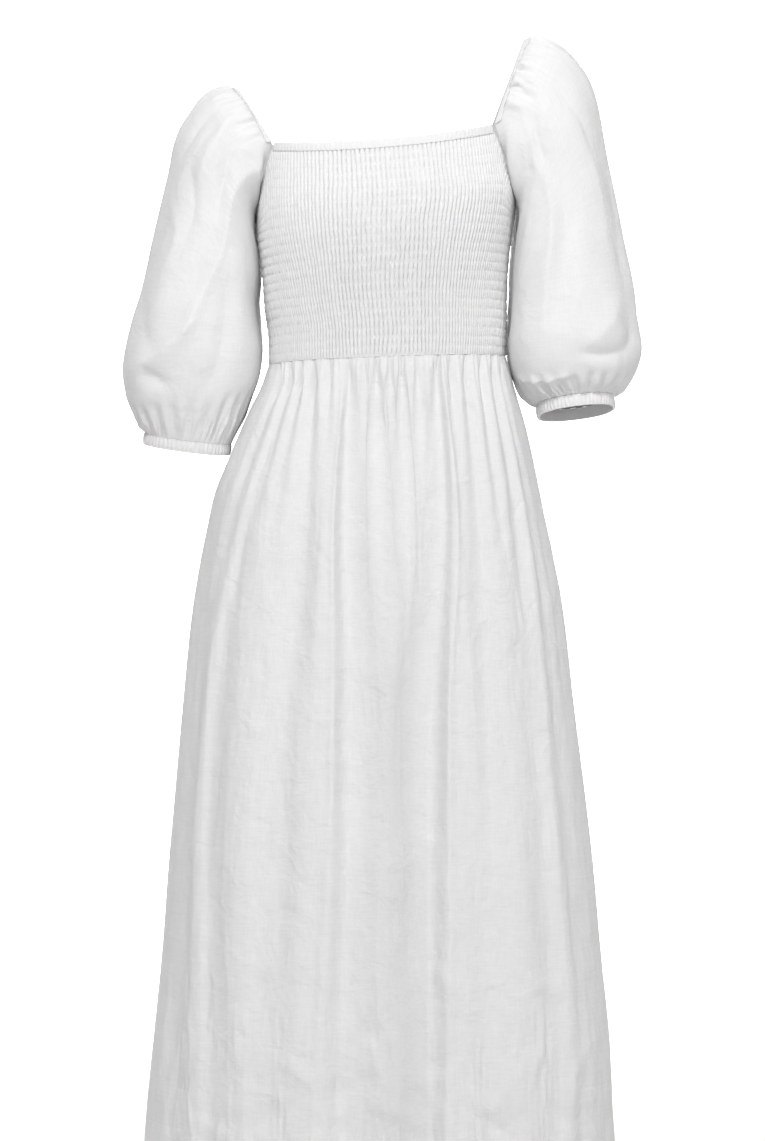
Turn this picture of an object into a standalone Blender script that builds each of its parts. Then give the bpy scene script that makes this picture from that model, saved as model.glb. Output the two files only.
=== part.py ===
"""A white midi dress, worn, as hollow cloth walls.

The dress is a smocked bodice with a square neckline, two elbow-length puff sleeves on narrow
elastic cuffs, and a gathered skirt that widens to the hem. It keeps the form of a general figure
that stands with one shoulder a little lower. Every cut piece is a wall of its own, and pieces
that are sewn together lie about 0.3 mm apart.

The front faces -Y and +Z is up. The origin lies between the shoulders, where the dress is held.
Run it with blender --background --python part.py or from the text editor. Sizes are in metres.
"""
import bpy
import bmesh
import numpy as np

# Cloth
WALL = 0.0012
GAP = 0.0003
LAP = 0.0006

# Smocking of the bodice, and the narrow casings round the neck
RIBS = 76
RIB_HEIGHT = 0.0012
NECK_CASING = 0.0080
NECK_CASING_RIBS = 36

# Heights on the figure's middle line, and the neckline's corners as angles round the body
WAIST = -0.3220
HEM = -1.2100
FRONT_CORNER = 0.585
BACK_CORNER = 0.600
FRONT_NECK = -0.0805
FRONT_NECK_DIP = 0.0110
BACK_NECK = -0.0740
BACK_NECK_DIP = 0.0040
UNDERARM = {"left": -0.1420, "right": -0.1600}
SHOULDER = {"left": (-0.1600, -0.0040, -0.0275), "right": (0.1504, -0.0040, 0.0261)}

# Rounding of the body's rings towards a square, and of the sleeves' rings
BODY_SQUARE = 0.12
SLEEVE_SQUARE = 0.08

# Sleeves: columns round the arm, one gather in two columns, and rough lengths for their folds
SLEEVE_COLUMNS = 44
SLEEVE_STEP = 0.027
SLEEVE_ROUND = 0.440
CUFF_HEIGHT = 0.0130
CUFF_RIBS = 24


def table(names, rows):
    """Return a short table as a dictionary of named columns."""
    return dict(zip(names.split(), np.array(rows, dtype=float).T))


# The body's rings from the neck to the waist: height, slope towards +X, middle, half of the
# width, and the depths before and behind the side seams.
BODICE = table("height slope middle half front back", [
    (-0.322, 0.036, 0.0025, 0.1293, 0.0990, 0.0880),
    (-0.290, 0.042, 0.0028, 0.1300, 0.1030, 0.0900),
    (-0.260, 0.048, 0.0009, 0.1321, 0.1080, 0.0930),
    (-0.220, 0.056, 0.0004, 0.1347, 0.1170, 0.0970),
    (-0.185, 0.063, 0.0006, 0.1390, 0.1230, 0.1000),
    (-0.150, 0.069, 0.0016, 0.1420, 0.1220, 0.1020),
    (-0.120, 0.075, 0.0000, 0.1400, 0.1140, 0.1030),
    (-0.080, 0.082, -0.0021, 0.1360, 0.1030, 0.1020),
    (-0.050, 0.086, -0.0021, 0.1330, 0.0950, 0.1000),
])

# The skirt's rings from the waist seam to the hem, in the same columns
SKIRT = table("height slope middle half front back", [
    (-0.322, 0.036, 0.0025, 0.1293, 0.0990, 0.0880),
    (-0.348, 0.034, 0.0014, 0.1376, 0.1080, 0.0990),
    (-0.370, 0.030, -0.0008, 0.1464, 0.1150, 0.1080),
    (-0.397, 0.025, -0.0027, 0.1564, 0.1210, 0.1160),
    (-0.430, 0.020, -0.0057, 0.1671, 0.1270, 0.1240),
    (-0.462, 0.015, -0.0087, 0.1768, 0.1320, 0.1310),
    (-0.500, 0.010, -0.0092, 0.1848, 0.1370, 0.1380),
    (-0.571, 0.005, -0.0082, 0.1990, 0.1440, 0.1480),
    (-0.702, 0.000, -0.0071, 0.2142, 0.1550, 0.1600),
    (-0.789, 0.000, -0.0055, 0.2235, 0.1610, 0.1660),
    (-0.876, 0.000, -0.0044, 0.2322, 0.1670, 0.1720),
    (-0.964, 0.000, -0.0038, 0.2393, 0.1715, 0.1770),
    (-1.051, 0.000, -0.0038, 0.2480, 0.1760, 0.1815),
    (-1.138, 0.000, -0.0058, 0.2545, 0.1800, 0.1855),
    (-1.210, 0.000, -0.0060, 0.2590, 0.1830, 0.1890),
])

# The skirt's front folds from the -X side seam to the +X one. Each is a valley that starts as a
# gather at the waist seam: its place across at four heights, its depth there, its width as a
# share of the usual one, and how far its steep side leans (+ is the +X side).
FOLD_HEIGHTS = (-0.345, -0.462, -0.713, -1.027)
FRONT_FOLDS = table("waist hip knee hem deep_waist deep_hip deep_knee deep_hem wide lean", [
    (-0.114, -0.155, -0.202, -0.226, 0.0030, 0.0020, 0.0010, 0.0020, 1.0, 0.0),
    (-0.102, -0.136, -0.183, -0.189, 0.0040, 0.0025, 0.0050, 0.0060, 1.1, -0.3),
    (-0.090, -0.113, -0.152, -0.159, 0.0035, 0.0015, 0.0000, 0.0010, 1.0, 0.0),
    (-0.077, -0.085, -0.107, -0.128, 0.0045, 0.0060, 0.0060, 0.0030, 1.2, 0.0),
    (-0.060, -0.067, -0.080, -0.097, 0.0035, 0.0010, 0.0000, 0.0000, 0.8, 0.0),
    (-0.040, -0.043, -0.037, -0.044, 0.0050, 0.0085, 0.0110, 0.0080, 1.0, -0.5),
    (-0.021, -0.024, -0.015, -0.018, 0.0035, 0.0010, 0.0000, 0.0000, 0.8, 0.0),
    (-0.010, -0.008, 0.002, 0.002, 0.0045, 0.0050, 0.0010, 0.0010, 0.9, 0.0),
    (0.006, 0.009, 0.016, 0.016, 0.0030, 0.0005, 0.0000, 0.0000, 0.7, 0.0),
    (0.018, 0.021, 0.026, 0.026, 0.0035, 0.0020, 0.0010, 0.0000, 0.7, 0.2),
    (0.036, 0.044, 0.037, 0.036, 0.0035, 0.0030, 0.0020, 0.0010, 0.7, -0.2),
    (0.057, 0.066, 0.051, 0.047, 0.0055, 0.0095, 0.0120, 0.0085, 1.0, 0.5),
    (0.070, 0.080, 0.083, 0.083, 0.0030, 0.0010, 0.0000, 0.0000, 0.8, 0.0),
    (0.087, 0.098, 0.112, 0.118, 0.0045, 0.0045, 0.0020, 0.0030, 1.0, 0.1),
    (0.103, 0.116, 0.135, 0.149, 0.0030, 0.0010, 0.0000, 0.0010, 0.8, 0.0),
    (0.116, 0.136, 0.157, 0.178, 0.0045, 0.0050, 0.0030, 0.0040, 1.1, 0.1),
    (0.124, 0.151, 0.182, 0.207, 0.0025, 0.0020, 0.0010, 0.0010, 0.9, 0.0),
])
# Usual half width of a fold at the four heights, and how far it fades in at seams and sides
FOLD_WIDTHS = (0.0050, 0.0090, 0.0160, 0.0200)
FOLD_SHOULDER = 0.28
GATHER_RUN_IN = 0.022
SIDE_RUN_IN = 0.022
FOLD_COLUMNS = 4
SKIRT_DROPS = (0.0, 0.014, 0.034, 0.070, 0.130, 0.225, 0.350, 0.510, 0.690)

# Each sleeve's rings from the shoulder to the cuff: the inner and the outer point as seen from
# the front, half of the depth, the middle's place in Y, how far the front and back reach towards
# the neck, how far the back swings behind the body (the front swings a third as far, to the same
# side; the sign is the side), and the rise towards +Y.
SLEEVE_NAMES = "inner_x inner_z outer_x outer_z depth middle reach swing pitch"
SLEEVES = {
    "left": table(SLEEVE_NAMES, [
        (-0.1424, -0.1590, -0.1755, -0.0251, 0.0680, 0.000, 0.024, 0.000, 0.00),
        (-0.1426, -0.1680, -0.1951, -0.0316, 0.0720, 0.000, 0.013, -0.004, 0.00),
        (-0.1420, -0.1780, -0.2126, -0.0523, 0.0745, 0.000, 0.006, -0.012, 0.00),
        (-0.1412, -0.1900, -0.2278, -0.0807, 0.0760, 0.000, 0.002, -0.020, 0.00),
        (-0.1382, -0.2090, -0.2371, -0.1243, 0.0765, 0.000, 0.000, -0.022, 0.00),
        (-0.1362, -0.2350, -0.2496, -0.1766, 0.0770, -0.001, 0.000, -0.024, 0.00),
        (-0.1385, -0.2610, -0.2616, -0.2278, 0.0775, -0.002, 0.000, -0.022, 0.02),
        (-0.1354, -0.2880, -0.2758, -0.2790, 0.0780, -0.003, 0.000, -0.018, 0.03),
        (-0.1326, -0.3120, -0.2856, -0.3259, 0.0760, -0.004, 0.000, -0.016, 0.05),
        (-0.1370, -0.3430, -0.2828, -0.3597, 0.0680, -0.005, 0.000, -0.010, 0.07),
        (-0.1492, -0.3700, -0.2725, -0.3820, 0.0570, -0.006, 0.000, -0.004, 0.09),
        (-0.1670, -0.4110, -0.2616, -0.3985, 0.0440, -0.006, 0.000, 0.000, 0.12),
    ]),
    "right": table(SLEEVE_NAMES, [
        (0.1455, -0.1610, 0.1690, 0.0305, 0.0680, 0.000, -0.024, 0.000, 0.00),
        (0.1452, -0.1700, 0.1930, 0.0218, 0.0720, 0.000, -0.013, 0.006, 0.00),
        (0.1436, -0.1810, 0.2147, 0.0000, 0.0745, 0.000, -0.006, 0.017, 0.00),
        (0.1410, -0.1940, 0.2310, -0.0349, 0.0760, 0.000, -0.002, 0.025, 0.00),
        (0.1388, -0.2115, 0.2420, -0.0916, 0.0765, 0.000, 0.000, 0.027, 0.00),
        (0.1368, -0.2354, 0.2551, -0.1591, 0.0770, -0.001, 0.000, 0.030, 0.00),
        (0.1356, -0.2605, 0.2671, -0.2245, 0.0775, -0.002, 0.000, 0.030, -0.02),
        (0.1342, -0.2856, 0.2758, -0.2747, 0.0780, -0.004, 0.000, 0.030, -0.04),
        (0.1328, -0.3096, 0.2801, -0.3085, 0.0760, -0.006, 0.000, 0.028, -0.07),
        (0.1385, -0.3379, 0.2747, -0.3330, 0.0680, -0.009, 0.000, 0.020, -0.10),
        (0.1480, -0.3570, 0.2630, -0.3500, 0.0560, -0.011, 0.000, 0.008, -0.13),
        (0.1640, -0.3710, 0.2485, -0.3610, 0.0420, -0.012, 0.000, 0.000, -0.15),
    ]),
}
SLEEVE_ROWS = (0.0, 0.5, 1.0, 2.0, 3.2, 4.6, 6.1, 7.6, 9.0, 10.3, 11.2, 12.0)
CASING_ROWS = 2

# Each sleeve's large folds. A fold passes four places, each a ring number and a share of the way
# round from the underarm over the front; its height is negative for a valley.
CREASE_NAMES = "ring_a round_a ring_b round_b ring_c round_c ring_d round_d height width"
CREASES = {
    "left": table(CREASE_NAMES, [
        (1.0, 0.120, 5.5, 0.208, 8.1, 0.275, 9.2, 0.420, 0.0060, 0.015),
        (0.3, 0.420, 1.2, 0.350, 2.0, 0.315, 3.0, 0.310, 0.0040, 0.010),
        (1.0, 0.290, 2.0, 0.266, 4.0, 0.211, 5.5, 0.185, -0.0045, 0.011),
        (3.0, 0.120, 6.0, 0.150, 8.5, 0.180, 10.5, 0.250, -0.0050, 0.018),
        (0.8, 0.600, 3.0, 0.640, 5.5, 0.680, 8.0, 0.640, -0.0050, 0.014),
        (2.0, 0.760, 5.0, 0.780, 7.5, 0.740, 9.5, 0.620, 0.0050, 0.016),
    ]),
    "right": table(CREASE_NAMES, [
        (0.5, 0.340, 1.7, 0.256, 3.1, 0.209, 4.5, 0.185, -0.0050, 0.010),
        (1.0, 0.225, 3.0, 0.200, 5.2, 0.198, 8.0, 0.155, 0.0050, 0.011),
        (3.9, 0.240, 5.4, 0.250, 7.3, 0.225, 9.0, 0.200, -0.0045, 0.015),
        (8.6, 0.300, 9.3, 0.340, 9.5, 0.400, 9.2, 0.460, -0.0040, 0.012),
        (0.8, 0.640, 2.5, 0.700, 5.0, 0.720, 8.0, 0.700, -0.0050, 0.013),
        (2.0, 0.580, 4.5, 0.600, 7.0, 0.640, 9.0, 0.740, 0.0050, 0.016),
    ]),
}
HEAD_GATHER = 0.0022
CUFF_GATHER = 0.0024


def spline(at, knots, values):
    """Smooth curve through the values at the knots; values may be whole rows of points."""
    at = np.asarray(at, dtype=float)
    knots = np.asarray(knots, dtype=float)
    values = np.asarray(values, dtype=float)
    if knots[0] > knots[-1]:
        knots = knots[::-1]
        values = values[::-1]
    step = np.diff(knots)
    extra = (1,) * (values.ndim - 1)
    pace = np.diff(values, axis=0) / step.reshape((-1,) + extra)
    left = step[:-1].reshape((-1,) + extra)
    right = step[1:].reshape((-1,) + extra)
    inner = (pace[:-1] * right + pace[1:] * left) / (left + right)
    slope = np.concatenate([pace[:1], inner, pace[-1:]])
    part = np.clip(np.searchsorted(knots, at, side="right") - 1, 0, len(step) - 1)
    span = step[part]
    along = np.clip((at - knots[part]) / span, 0.0, 1.0)
    shape = at.shape + extra
    along = along.reshape(shape)
    span = span.reshape(shape)
    rise = along * along * (3.0 - 2.0 * along)
    start = along * (1.0 - along) ** 2 * span
    end = along * along * (along - 1.0) * span
    low = values[part]
    high = values[part + 1]
    return low + (high - low) * rise + slope[part] * start + slope[part + 1] * end


def ease(amount):
    """Soft step from 0 to 1."""
    amount = np.clip(amount, 0.0, 1.0)
    return amount * amount * (3.0 - 2.0 * amount)


def ring_point(shape, theta, height, facing, out=0.0):
    """Point at angle theta, from the -X side seam to the +X one, on the front or the back."""
    slope, middle, half, depth = (
        spline(height, shape["height"], shape[column]) for column in ("slope", "middle", "half", facing)
    )
    sign = -1.0 if facing == "front" else 1.0
    cos = np.cos(theta)
    sin = np.sin(theta)
    across = -(half + out) * cos * (1.0 + BODY_SQUARE * sin * sin)
    y = sign * (depth + out) * sin * (1.0 + BODY_SQUARE * cos * cos)
    z = height + slope * across
    return np.stack(np.broadcast_arrays(middle + across, y, z), axis=-1)


def neck_height(theta, facing):
    """Height of the neckline, which dips a little between its corners."""
    corner, height, dip = {
        "front": (FRONT_CORNER, FRONT_NECK, FRONT_NECK_DIP),
        "back": (BACK_CORNER, BACK_NECK, BACK_NECK_DIP),
    }[facing]
    between = np.clip((theta - corner) / (np.pi - 2.0 * corner), 0.0, 1.0)
    return height - dip * np.sin(np.pi * between)


def armhole_height(theta, facing):
    """Height of the armhole seam, which rises from the underarm to the neckline's corner."""
    corner, neck = (FRONT_CORNER, FRONT_NECK) if facing == "front" else (BACK_CORNER, BACK_NECK)
    low = np.where(theta < np.pi / 2.0, UNDERARM["left"], UNDERARM["right"])
    way = np.minimum(theta, np.pi - theta) / corner
    return low + (neck - low) * np.minimum(way, 1.0) ** 2


def normals(points, closed):
    """Unit normals of a grid of points, rows by columns, closed round its columns or not."""
    down = np.gradient(points, axis=0)
    if closed:
        side = np.roll(points, -1, axis=1) - np.roll(points, 1, axis=1)
    else:
        side = np.gradient(points, axis=1)
    normal = np.cross(down, side)
    return normal / np.linalg.norm(normal, axis=-1, keepdims=True)


def zip_faces(first, second):
    """Triangles between two lines of vertices that run the same way, of any two lengths."""
    faces = []
    i = 0
    j = 0
    while i < len(first) - 1 or j < len(second) - 1:
        next_first = (i + 0.5) / (len(first) - 1)
        next_second = (j + 0.5) / (len(second) - 1)
        if j == len(second) - 1 or (i < len(first) - 1 and next_first <= next_second):
            faces.append((first[i], first[i + 1], second[j]))
            i += 1
        else:
            faces.append((first[i], second[j + 1], second[j]))
            j += 1
    return faces


def grid_faces(index):
    """Triangles of a grid of vertex numbers."""
    a = index[:-1, :-1].ravel()
    b = index[:-1, 1:].ravel()
    c = index[1:, 1:].ravel()
    d = index[1:, :-1].ravel()
    return list(zip(a, b, c)) + list(zip(a, c, d))


def fabric():
    """The white linen cloth."""
    material = bpy.data.materials.new("white_linen")
    material.use_nodes = True
    surface = material.node_tree.nodes["Principled BSDF"]
    surface.inputs["Base Color"].default_value = (0.87, 0.86, 0.84, 1.0)
    surface.inputs["Roughness"].default_value = 0.9
    surface.inputs["Metallic"].default_value = 0.0
    return material


def cloth_wall(name, outer, inner, closed):
    """Build one closed solid between an outer and an inner grid with equal numbers of rows."""
    outer_index = np.arange(outer.shape[0] * outer.shape[1]).reshape(outer.shape[:2])
    inner_index = np.arange(inner.shape[0] * inner.shape[1]).reshape(inner.shape[:2])
    inner_index = inner_index + outer_index.size
    if closed:
        outer_index = np.hstack([outer_index, outer_index[:, :1]])
        inner_index = np.hstack([inner_index, inner_index[:, :1]])
    faces = grid_faces(outer_index) + grid_faces(inner_index)
    faces += zip_faces(outer_index[0], inner_index[0])
    faces += zip_faces(outer_index[-1], inner_index[-1])
    if not closed:
        faces += zip_faces(outer_index[:, 0], inner_index[:, 0])
        faces += zip_faces(outer_index[:, -1], inner_index[:, -1])
    points = np.concatenate([outer.reshape(-1, 3), inner.reshape(-1, 3)])
    mesh = bpy.data.meshes.new(name)
    mesh.from_pydata(points.tolist(), [], [tuple(int(i) for i in face) for face in faces])
    work = bmesh.new()
    work.from_mesh(mesh)
    bmesh.ops.recalc_face_normals(work, faces=work.faces)
    if work.calc_volume(signed=True) < 0.0:
        bmesh.ops.reverse_faces(work, faces=work.faces)
    work.to_mesh(mesh)
    work.free()
    mesh.shade_smooth()
    mesh.set_sharp_from_angle(angle=np.radians(50.0))
    mesh.materials.append(fabric())
    piece = bpy.data.objects.new(name, mesh)
    bpy.context.scene.collection.objects.link(piece)
    piece.parent = FRAME
    return piece


def ribbed(count):
    """Heights of the vertices across ribs, two to a rib, a little uneven."""
    number = np.arange(2 * count + 1)
    crest = (number % 2) * (0.85 + 0.15 * np.sin(1.9 * number))
    return RIB_HEIGHT * crest


def bodice_panel(facing):
    """One smocked half of the bodice: ribs on the outside, plain inside."""
    depth = BODICE[facing].min()
    margin = 0.5 * GAP / depth
    theta = np.linspace(margin, np.pi - margin, 2 * RIBS + 1)
    share = np.linspace(0.0, 1.0, 7)[:, None]
    rim = neck_height(theta, facing) - NECK_CASING - GAP
    top = np.minimum(armhole_height(theta, facing), rim)
    height = WAIST + share * (top - WAIST)
    outer = ring_point(BODICE, theta, height, facing, ribbed(RIBS) - RIB_HEIGHT)
    plain = slice(None, None, 4)
    inner = ring_point(BODICE, theta[plain], height[:, plain], facing, -RIB_HEIGHT - WALL)
    return cloth_wall(f"bodice_{facing}", outer, inner, closed=False)


def neck_casing(facing):
    """The narrow gathered casing along the front or back neckline, over the smocking."""
    corner = FRONT_CORNER if facing == "front" else BACK_CORNER
    theta = np.linspace(corner, np.pi - corner, 2 * NECK_CASING_RIBS + 1)
    share = np.array([[1.0], [0.0]])
    height = neck_height(theta, facing) - NECK_CASING * share
    outer = ring_point(BODICE, theta, height, facing, ribbed(NECK_CASING_RIBS) - RIB_HEIGHT)
    plain = slice(None, None, 4)
    inner = ring_point(BODICE, theta[plain], height[:, plain], facing, -RIB_HEIGHT - WALL)
    return cloth_wall(f"neck_casing_{facing}", outer, inner, closed=False)


def fold_place(share):
    """Angle round the body for a place across it, as a share of half of the width."""
    share = np.clip(share, -0.999, 0.999)
    cos = share / (1.0 + BODY_SQUARE * (1.0 - share * share))
    cos = share / (1.0 + BODY_SQUARE * (1.0 - cos * cos))
    return np.arccos(np.clip(-cos, -1.0, 1.0))


def skirt_folds(facing):
    """The folds of one half of the skirt; the back repeats the front's, turned and shifted."""
    if facing == "front":
        return FRONT_FOLDS
    turned = {name: column[::-1].copy() for name, column in FRONT_FOLDS.items()}
    for name in ("waist", "hip", "knee", "hem"):
        turned[name] = -0.97 * turned[name] + 0.10 * np.abs(turned[name]) - 0.003
    for name in ("deep_waist", "deep_hip", "deep_knee", "deep_hem"):
        turned[name] = 0.9 * np.roll(turned[name], 2)
    turned["wide"] = np.roll(turned["wide"], 2)
    turned["lean"] = -np.roll(turned["lean"], 2)
    return turned


def fold_angles(folds, height):
    """Angle of each fold at each height, folds by heights."""
    places = np.stack([folds[name] for name in ("waist", "hip", "knee", "hem")])
    place = spline(height, FOLD_HEIGHTS, places)
    half = spline(height, SKIRT["height"], SKIRT["half"])
    middle = spline(height, SKIRT["height"], SKIRT["middle"])
    return fold_place((place - middle[..., None]) / half[..., None])


def skirt_relief(folds, theta, height):
    """How far the skirt stands out of its plain ring, from all of its folds together."""
    angles = fold_angles(folds, height[:, 0])
    half = spline(height, SKIRT["height"], SKIRT["half"])
    deep = [folds[name] for name in ("deep_waist", "deep_hip", "deep_knee", "deep_hem")]
    deep = spline(height[:, 0], FOLD_HEIGHTS, np.stack(deep))
    usual = spline(height[:, 0], FOLD_HEIGHTS, np.array(FOLD_WIDTHS))[:, None]
    relief = np.zeros(theta.shape)
    for number in range(len(folds["wide"])):
        away = (theta - angles[:, number:number + 1]) * half
        lean = folds["lean"][number] * np.sign(away)
        scaled = away / (usual * folds["wide"][number] * (1.0 - lean))
        valley = np.exp(-scaled ** 2)
        shoulder = np.exp(-((np.abs(scaled) - 1.7) / 0.8) ** 2)
        relief += deep[:, number:number + 1] * (FOLD_SHOULDER * shoulder - valley)
    run_in = 0.3 + 0.7 * ease((WAIST - height) / GATHER_RUN_IN)
    side = ease(np.minimum(theta, np.pi - theta) * half / SIDE_RUN_IN)
    return relief * run_in * side


def skirt_panel(facing):
    """One half of the skirt, gathered at the waist seam and falling in folds to the hem."""
    folds = skirt_folds(facing)
    margin = 0.5 * GAP / SKIRT[facing].min()
    height = np.append(WAIST - GAP - np.array(SKIRT_DROPS), HEM)
    angles = fold_angles(folds, height)
    ends = np.full((len(height), 1), margin)
    knots = np.hstack([ends, angles, np.pi - ends])
    count = FOLD_COLUMNS * (knots.shape[1] - 1)
    at = np.linspace(0.0, knots.shape[1] - 1, count + 1)
    theta = np.stack([np.interp(at, np.arange(len(row)), row) for row in knots])
    height = np.broadcast_to(height[:, None], theta.shape)
    outer = ring_point(SKIRT, theta, height, facing, skirt_relief(folds, theta, height))
    inner = outer - WALL * outward(outer, facing)
    inner[:, 0, 1] = outer[:, 0, 1]
    inner[:, -1, 1] = outer[:, -1, 1]
    inner[0, :, 2] = outer[0, :, 2]
    inner[-1, :, 2] = outer[-1, :, 2]
    return cloth_wall(f"skirt_{facing}", outer, inner, closed=False)


def outward(points, facing):
    """Normals of a body panel, pointing away from the figure."""
    normal = normals(points, closed=False)
    middle = normal.shape[1] // 2
    sign = -1.0 if facing == "front" else 1.0
    return normal * np.sign(normal[:, middle:middle + 1, 1:2]) * sign


def armhole_edge(side, facing, way):
    """The sleeve's edge on the armhole seam; way runs from the underarm to the corner."""
    corner = FRONT_CORNER if facing == "front" else BACK_CORNER
    theta = corner * way
    if side == "right":
        theta = np.pi - theta
    out = LAP + way * (WALL + LAP)
    return ring_point(BODICE, theta, armhole_height(theta, facing), facing, out)


def shoulder_edge(start, top, way):
    """Quarter round from a neckline corner up to the top of the shoulder."""
    angle = 0.5 * np.pi * way[:, None]
    rise = start + (top - start) * np.sin(angle)
    rise[:, 1] = (top + (start - top) * np.cos(angle))[:, 1]
    return rise


def sleeve_root(side, around):
    """The sleeve's upper edge: the front armhole, over the shoulder, and the back armhole."""
    top = np.array(SHOULDER[side])
    front = armhole_edge(side, "front", np.clip(around / 0.25, 0.0, 1.0))
    back = armhole_edge(side, "back", np.clip((1.0 - around) / 0.25, 0.0, 1.0))
    over_front = shoulder_edge(front[np.argmin(np.abs(around - 0.25))], top,
                               np.clip((around - 0.25) / 0.25, 0.0, 1.0))
    over_back = shoulder_edge(back[np.argmin(np.abs(around - 0.75))], top,
                              np.clip((0.75 - around) / 0.25, 0.0, 1.0))
    quarter = np.clip((around * 4.0).astype(int), 0, 3)[:, None]
    return np.select([quarter == 0, quarter == 1, quarter == 2], [front, over_front, over_back], back)


def sleeve_rings(side, around):
    """The sleeve's rings below its root, as grids of points."""
    shape = {name: column[:, None] for name, column in SLEEVES[side].items()}
    cos = np.cos(2.0 * np.pi * around)
    sin = np.sin(2.0 * np.pi * around)
    near = 0.5 - 0.5 * cos * (1.0 + SLEEVE_SQUARE * sin * sin)
    half = 0.5 * (shape["outer_x"] - shape["inner_x"])
    swing = shape["swing"] * (1.0 - 1.35 * ease(0.5 + sin))
    across = np.sign(half) * np.sqrt(half ** 2 - swing ** 2)
    x = shape["inner_x"] + half + across * (2.0 * near - 1.0)
    x = x + shape["reach"] * sin * sin + swing * sin
    z = shape["inner_z"] + (shape["outer_z"] - shape["inner_z"]) * near
    y = -shape["depth"] * sin * (1.0 + SLEEVE_SQUARE * cos * cos)
    return np.stack([x, y + shape["middle"], z + shape["pitch"] * y], axis=-1)


def crease_relief(creases, ring, around):
    """Height of all of a sleeve's creases; distances are taken on the cloth laid out flat."""
    relief = np.zeros(ring.shape)
    way = np.linspace(0.0, 3.0, 25)
    for number in range(len(creases["height"])):
        path_ring = spline(way, range(4), [creases[f"ring_{k}"][number] for k in "abcd"])
        path_round = spline(way, range(4), [creases[f"round_{k}"][number] for k in "abcd"])
        along = (ring[..., None] - path_ring) * SLEEVE_STEP
        across = (around[..., None] - path_round) * SLEEVE_ROUND
        taper = np.sin(np.pi * (0.08 + 0.84 * way / 3.0)) ** 0.6
        bump = taper * np.exp(-(along ** 2 + across ** 2) / creases["width"][number] ** 2)
        relief += creases["height"][number] * bump.max(axis=-1)
    return relief


def sleeve_surface(side, rows, around):
    """The sleeve's outer face with its gathers and large folds, rows by columns."""
    rings = np.concatenate([sleeve_root(side, around)[None], sleeve_rings(side, around)])
    points = spline(rows, range(len(rings)), rings)
    ring = np.broadcast_to(np.array(rows)[:, None], points.shape[:2])
    turn = np.broadcast_to(around, points.shape[:2])
    last = len(rings) - 1
    left = last - ring
    wave = np.cos(np.pi * SLEEVE_COLUMNS * turn) * (1.0 + 0.35 * np.sin(14.0 * np.pi * turn + 1.0))
    over = ease((turn - 0.24) / 0.05) * ease((0.76 - turn) / 0.05)
    head = HEAD_GATHER * over * (0.2 + 0.8 * ease(ring / 0.5)) * (1.0 - ease((ring - 0.8) / 2.6))
    foot = CUFF_GATHER * (0.25 + 0.75 * ease(left / 0.7)) * (1.0 - ease((left - 0.9) / 1.4))
    fade = ease(ring / 0.8) * ease(left / 1.5)
    relief = wave * (head + foot) + crease_relief(CREASES[side], ring, turn) * fade
    return points + sleeve_normals(points) * relief[..., None]


def sleeve_normals(points):
    """Normals of a sleeve grid, pointing out of the sleeve."""
    normal = normals(points, closed=True)
    middle = points.mean(axis=1, keepdims=True)
    inward = (normal * (points - middle)).sum(axis=-1).mean() < 0.0
    return -normal if inward else normal


def sleeve(side):
    """One puff sleeve, open at the shoulder and at the cuff."""
    around = np.arange(SLEEVE_COLUMNS) / SLEEVE_COLUMNS
    outer = sleeve_surface(side, SLEEVE_ROWS, around)
    inner = outer - WALL * sleeve_normals(outer)
    return cloth_wall(f"sleeve_{side}", outer, inner, closed=True)


def shoulder_casing(side):
    """The casing on the sleeve's top edge, from the front corner over to the back one."""
    around = np.arange(SLEEVE_COLUMNS) / SLEEVE_COLUMNS
    outer = sleeve_surface(side, SLEEVE_ROWS, around)
    lift = sleeve_normals(outer)
    first = SLEEVE_COLUMNS // 4
    over = slice(first, 3 * first + 1)
    below = (outer + lift * (GAP + 0.0002))[:CASING_ROWS, over]
    above = (outer + lift * (GAP + 0.0002 + WALL))[:CASING_ROWS, over]
    count = 2 * (above.shape[1] - 1)
    at = np.linspace(0.0, above.shape[1] - 1, count + 1)
    fine = np.stack([spline(at, range(len(row)), row) for row in above])
    fine_lift = np.stack([spline(at, range(len(row)), row) for row in lift[:CASING_ROWS, over]])
    fine = fine + fine_lift * 0.5 * ribbed(count // 2)[None, :, None]
    return cloth_wall(f"shoulder_casing_{side}", fine, below, closed=False)


def cuff(side):
    """The narrow elastic cuff below the sleeve's last ring."""
    around = np.arange(2 * CUFF_RIBS) / (2.0 * CUFF_RIBS)
    ring = sleeve_rings(side, around)[-1]
    shape = {name: column[-1] for name, column in SLEEVES[side].items()}
    across = np.array([shape["outer_x"] - shape["inner_x"], 0.0, shape["outer_z"] - shape["inner_z"]])
    across = across / np.linalg.norm(across)
    back = np.array([0.0, 1.0, shape["pitch"]])
    axis = np.cross(across, back / np.linalg.norm(back))
    axis = axis if axis[2] < 0.0 else -axis
    middle = ring.mean(axis=0)
    out = ring - middle
    out = out / np.linalg.norm(out, axis=-1, keepdims=True)
    drop = np.array([GAP + 0.0003, 0.5 * CUFF_HEIGHT, CUFF_HEIGHT])[:, None, None]
    swell = np.array([0.0, 0.0006, -0.0006])[:, None, None]
    ribs = ribbed(CUFF_RIBS)[:-1][None, :, None]
    outer = ring + axis * drop + out * (swell + ribs - RIB_HEIGHT)
    inner = (ring + axis * drop - out * (RIB_HEIGHT + WALL))[:, ::4]
    return cloth_wall(f"cuff_{side}", outer, inner, closed=True)


for old in list(bpy.data.objects):
    bpy.data.objects.remove(old, do_unlink=True)

FRAME = bpy.data.objects.new("worn_on_shoulders", None)
FRAME.empty_display_size = 0.05
bpy.context.scene.collection.objects.link(FRAME)

for half in ("front", "back"):
    bodice_panel(half)
    neck_casing(half)
    skirt_panel(half)
for arm in ("left", "right"):
    sleeve(arm)
    shoulder_casing(arm)
    cuff(arm)
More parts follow.
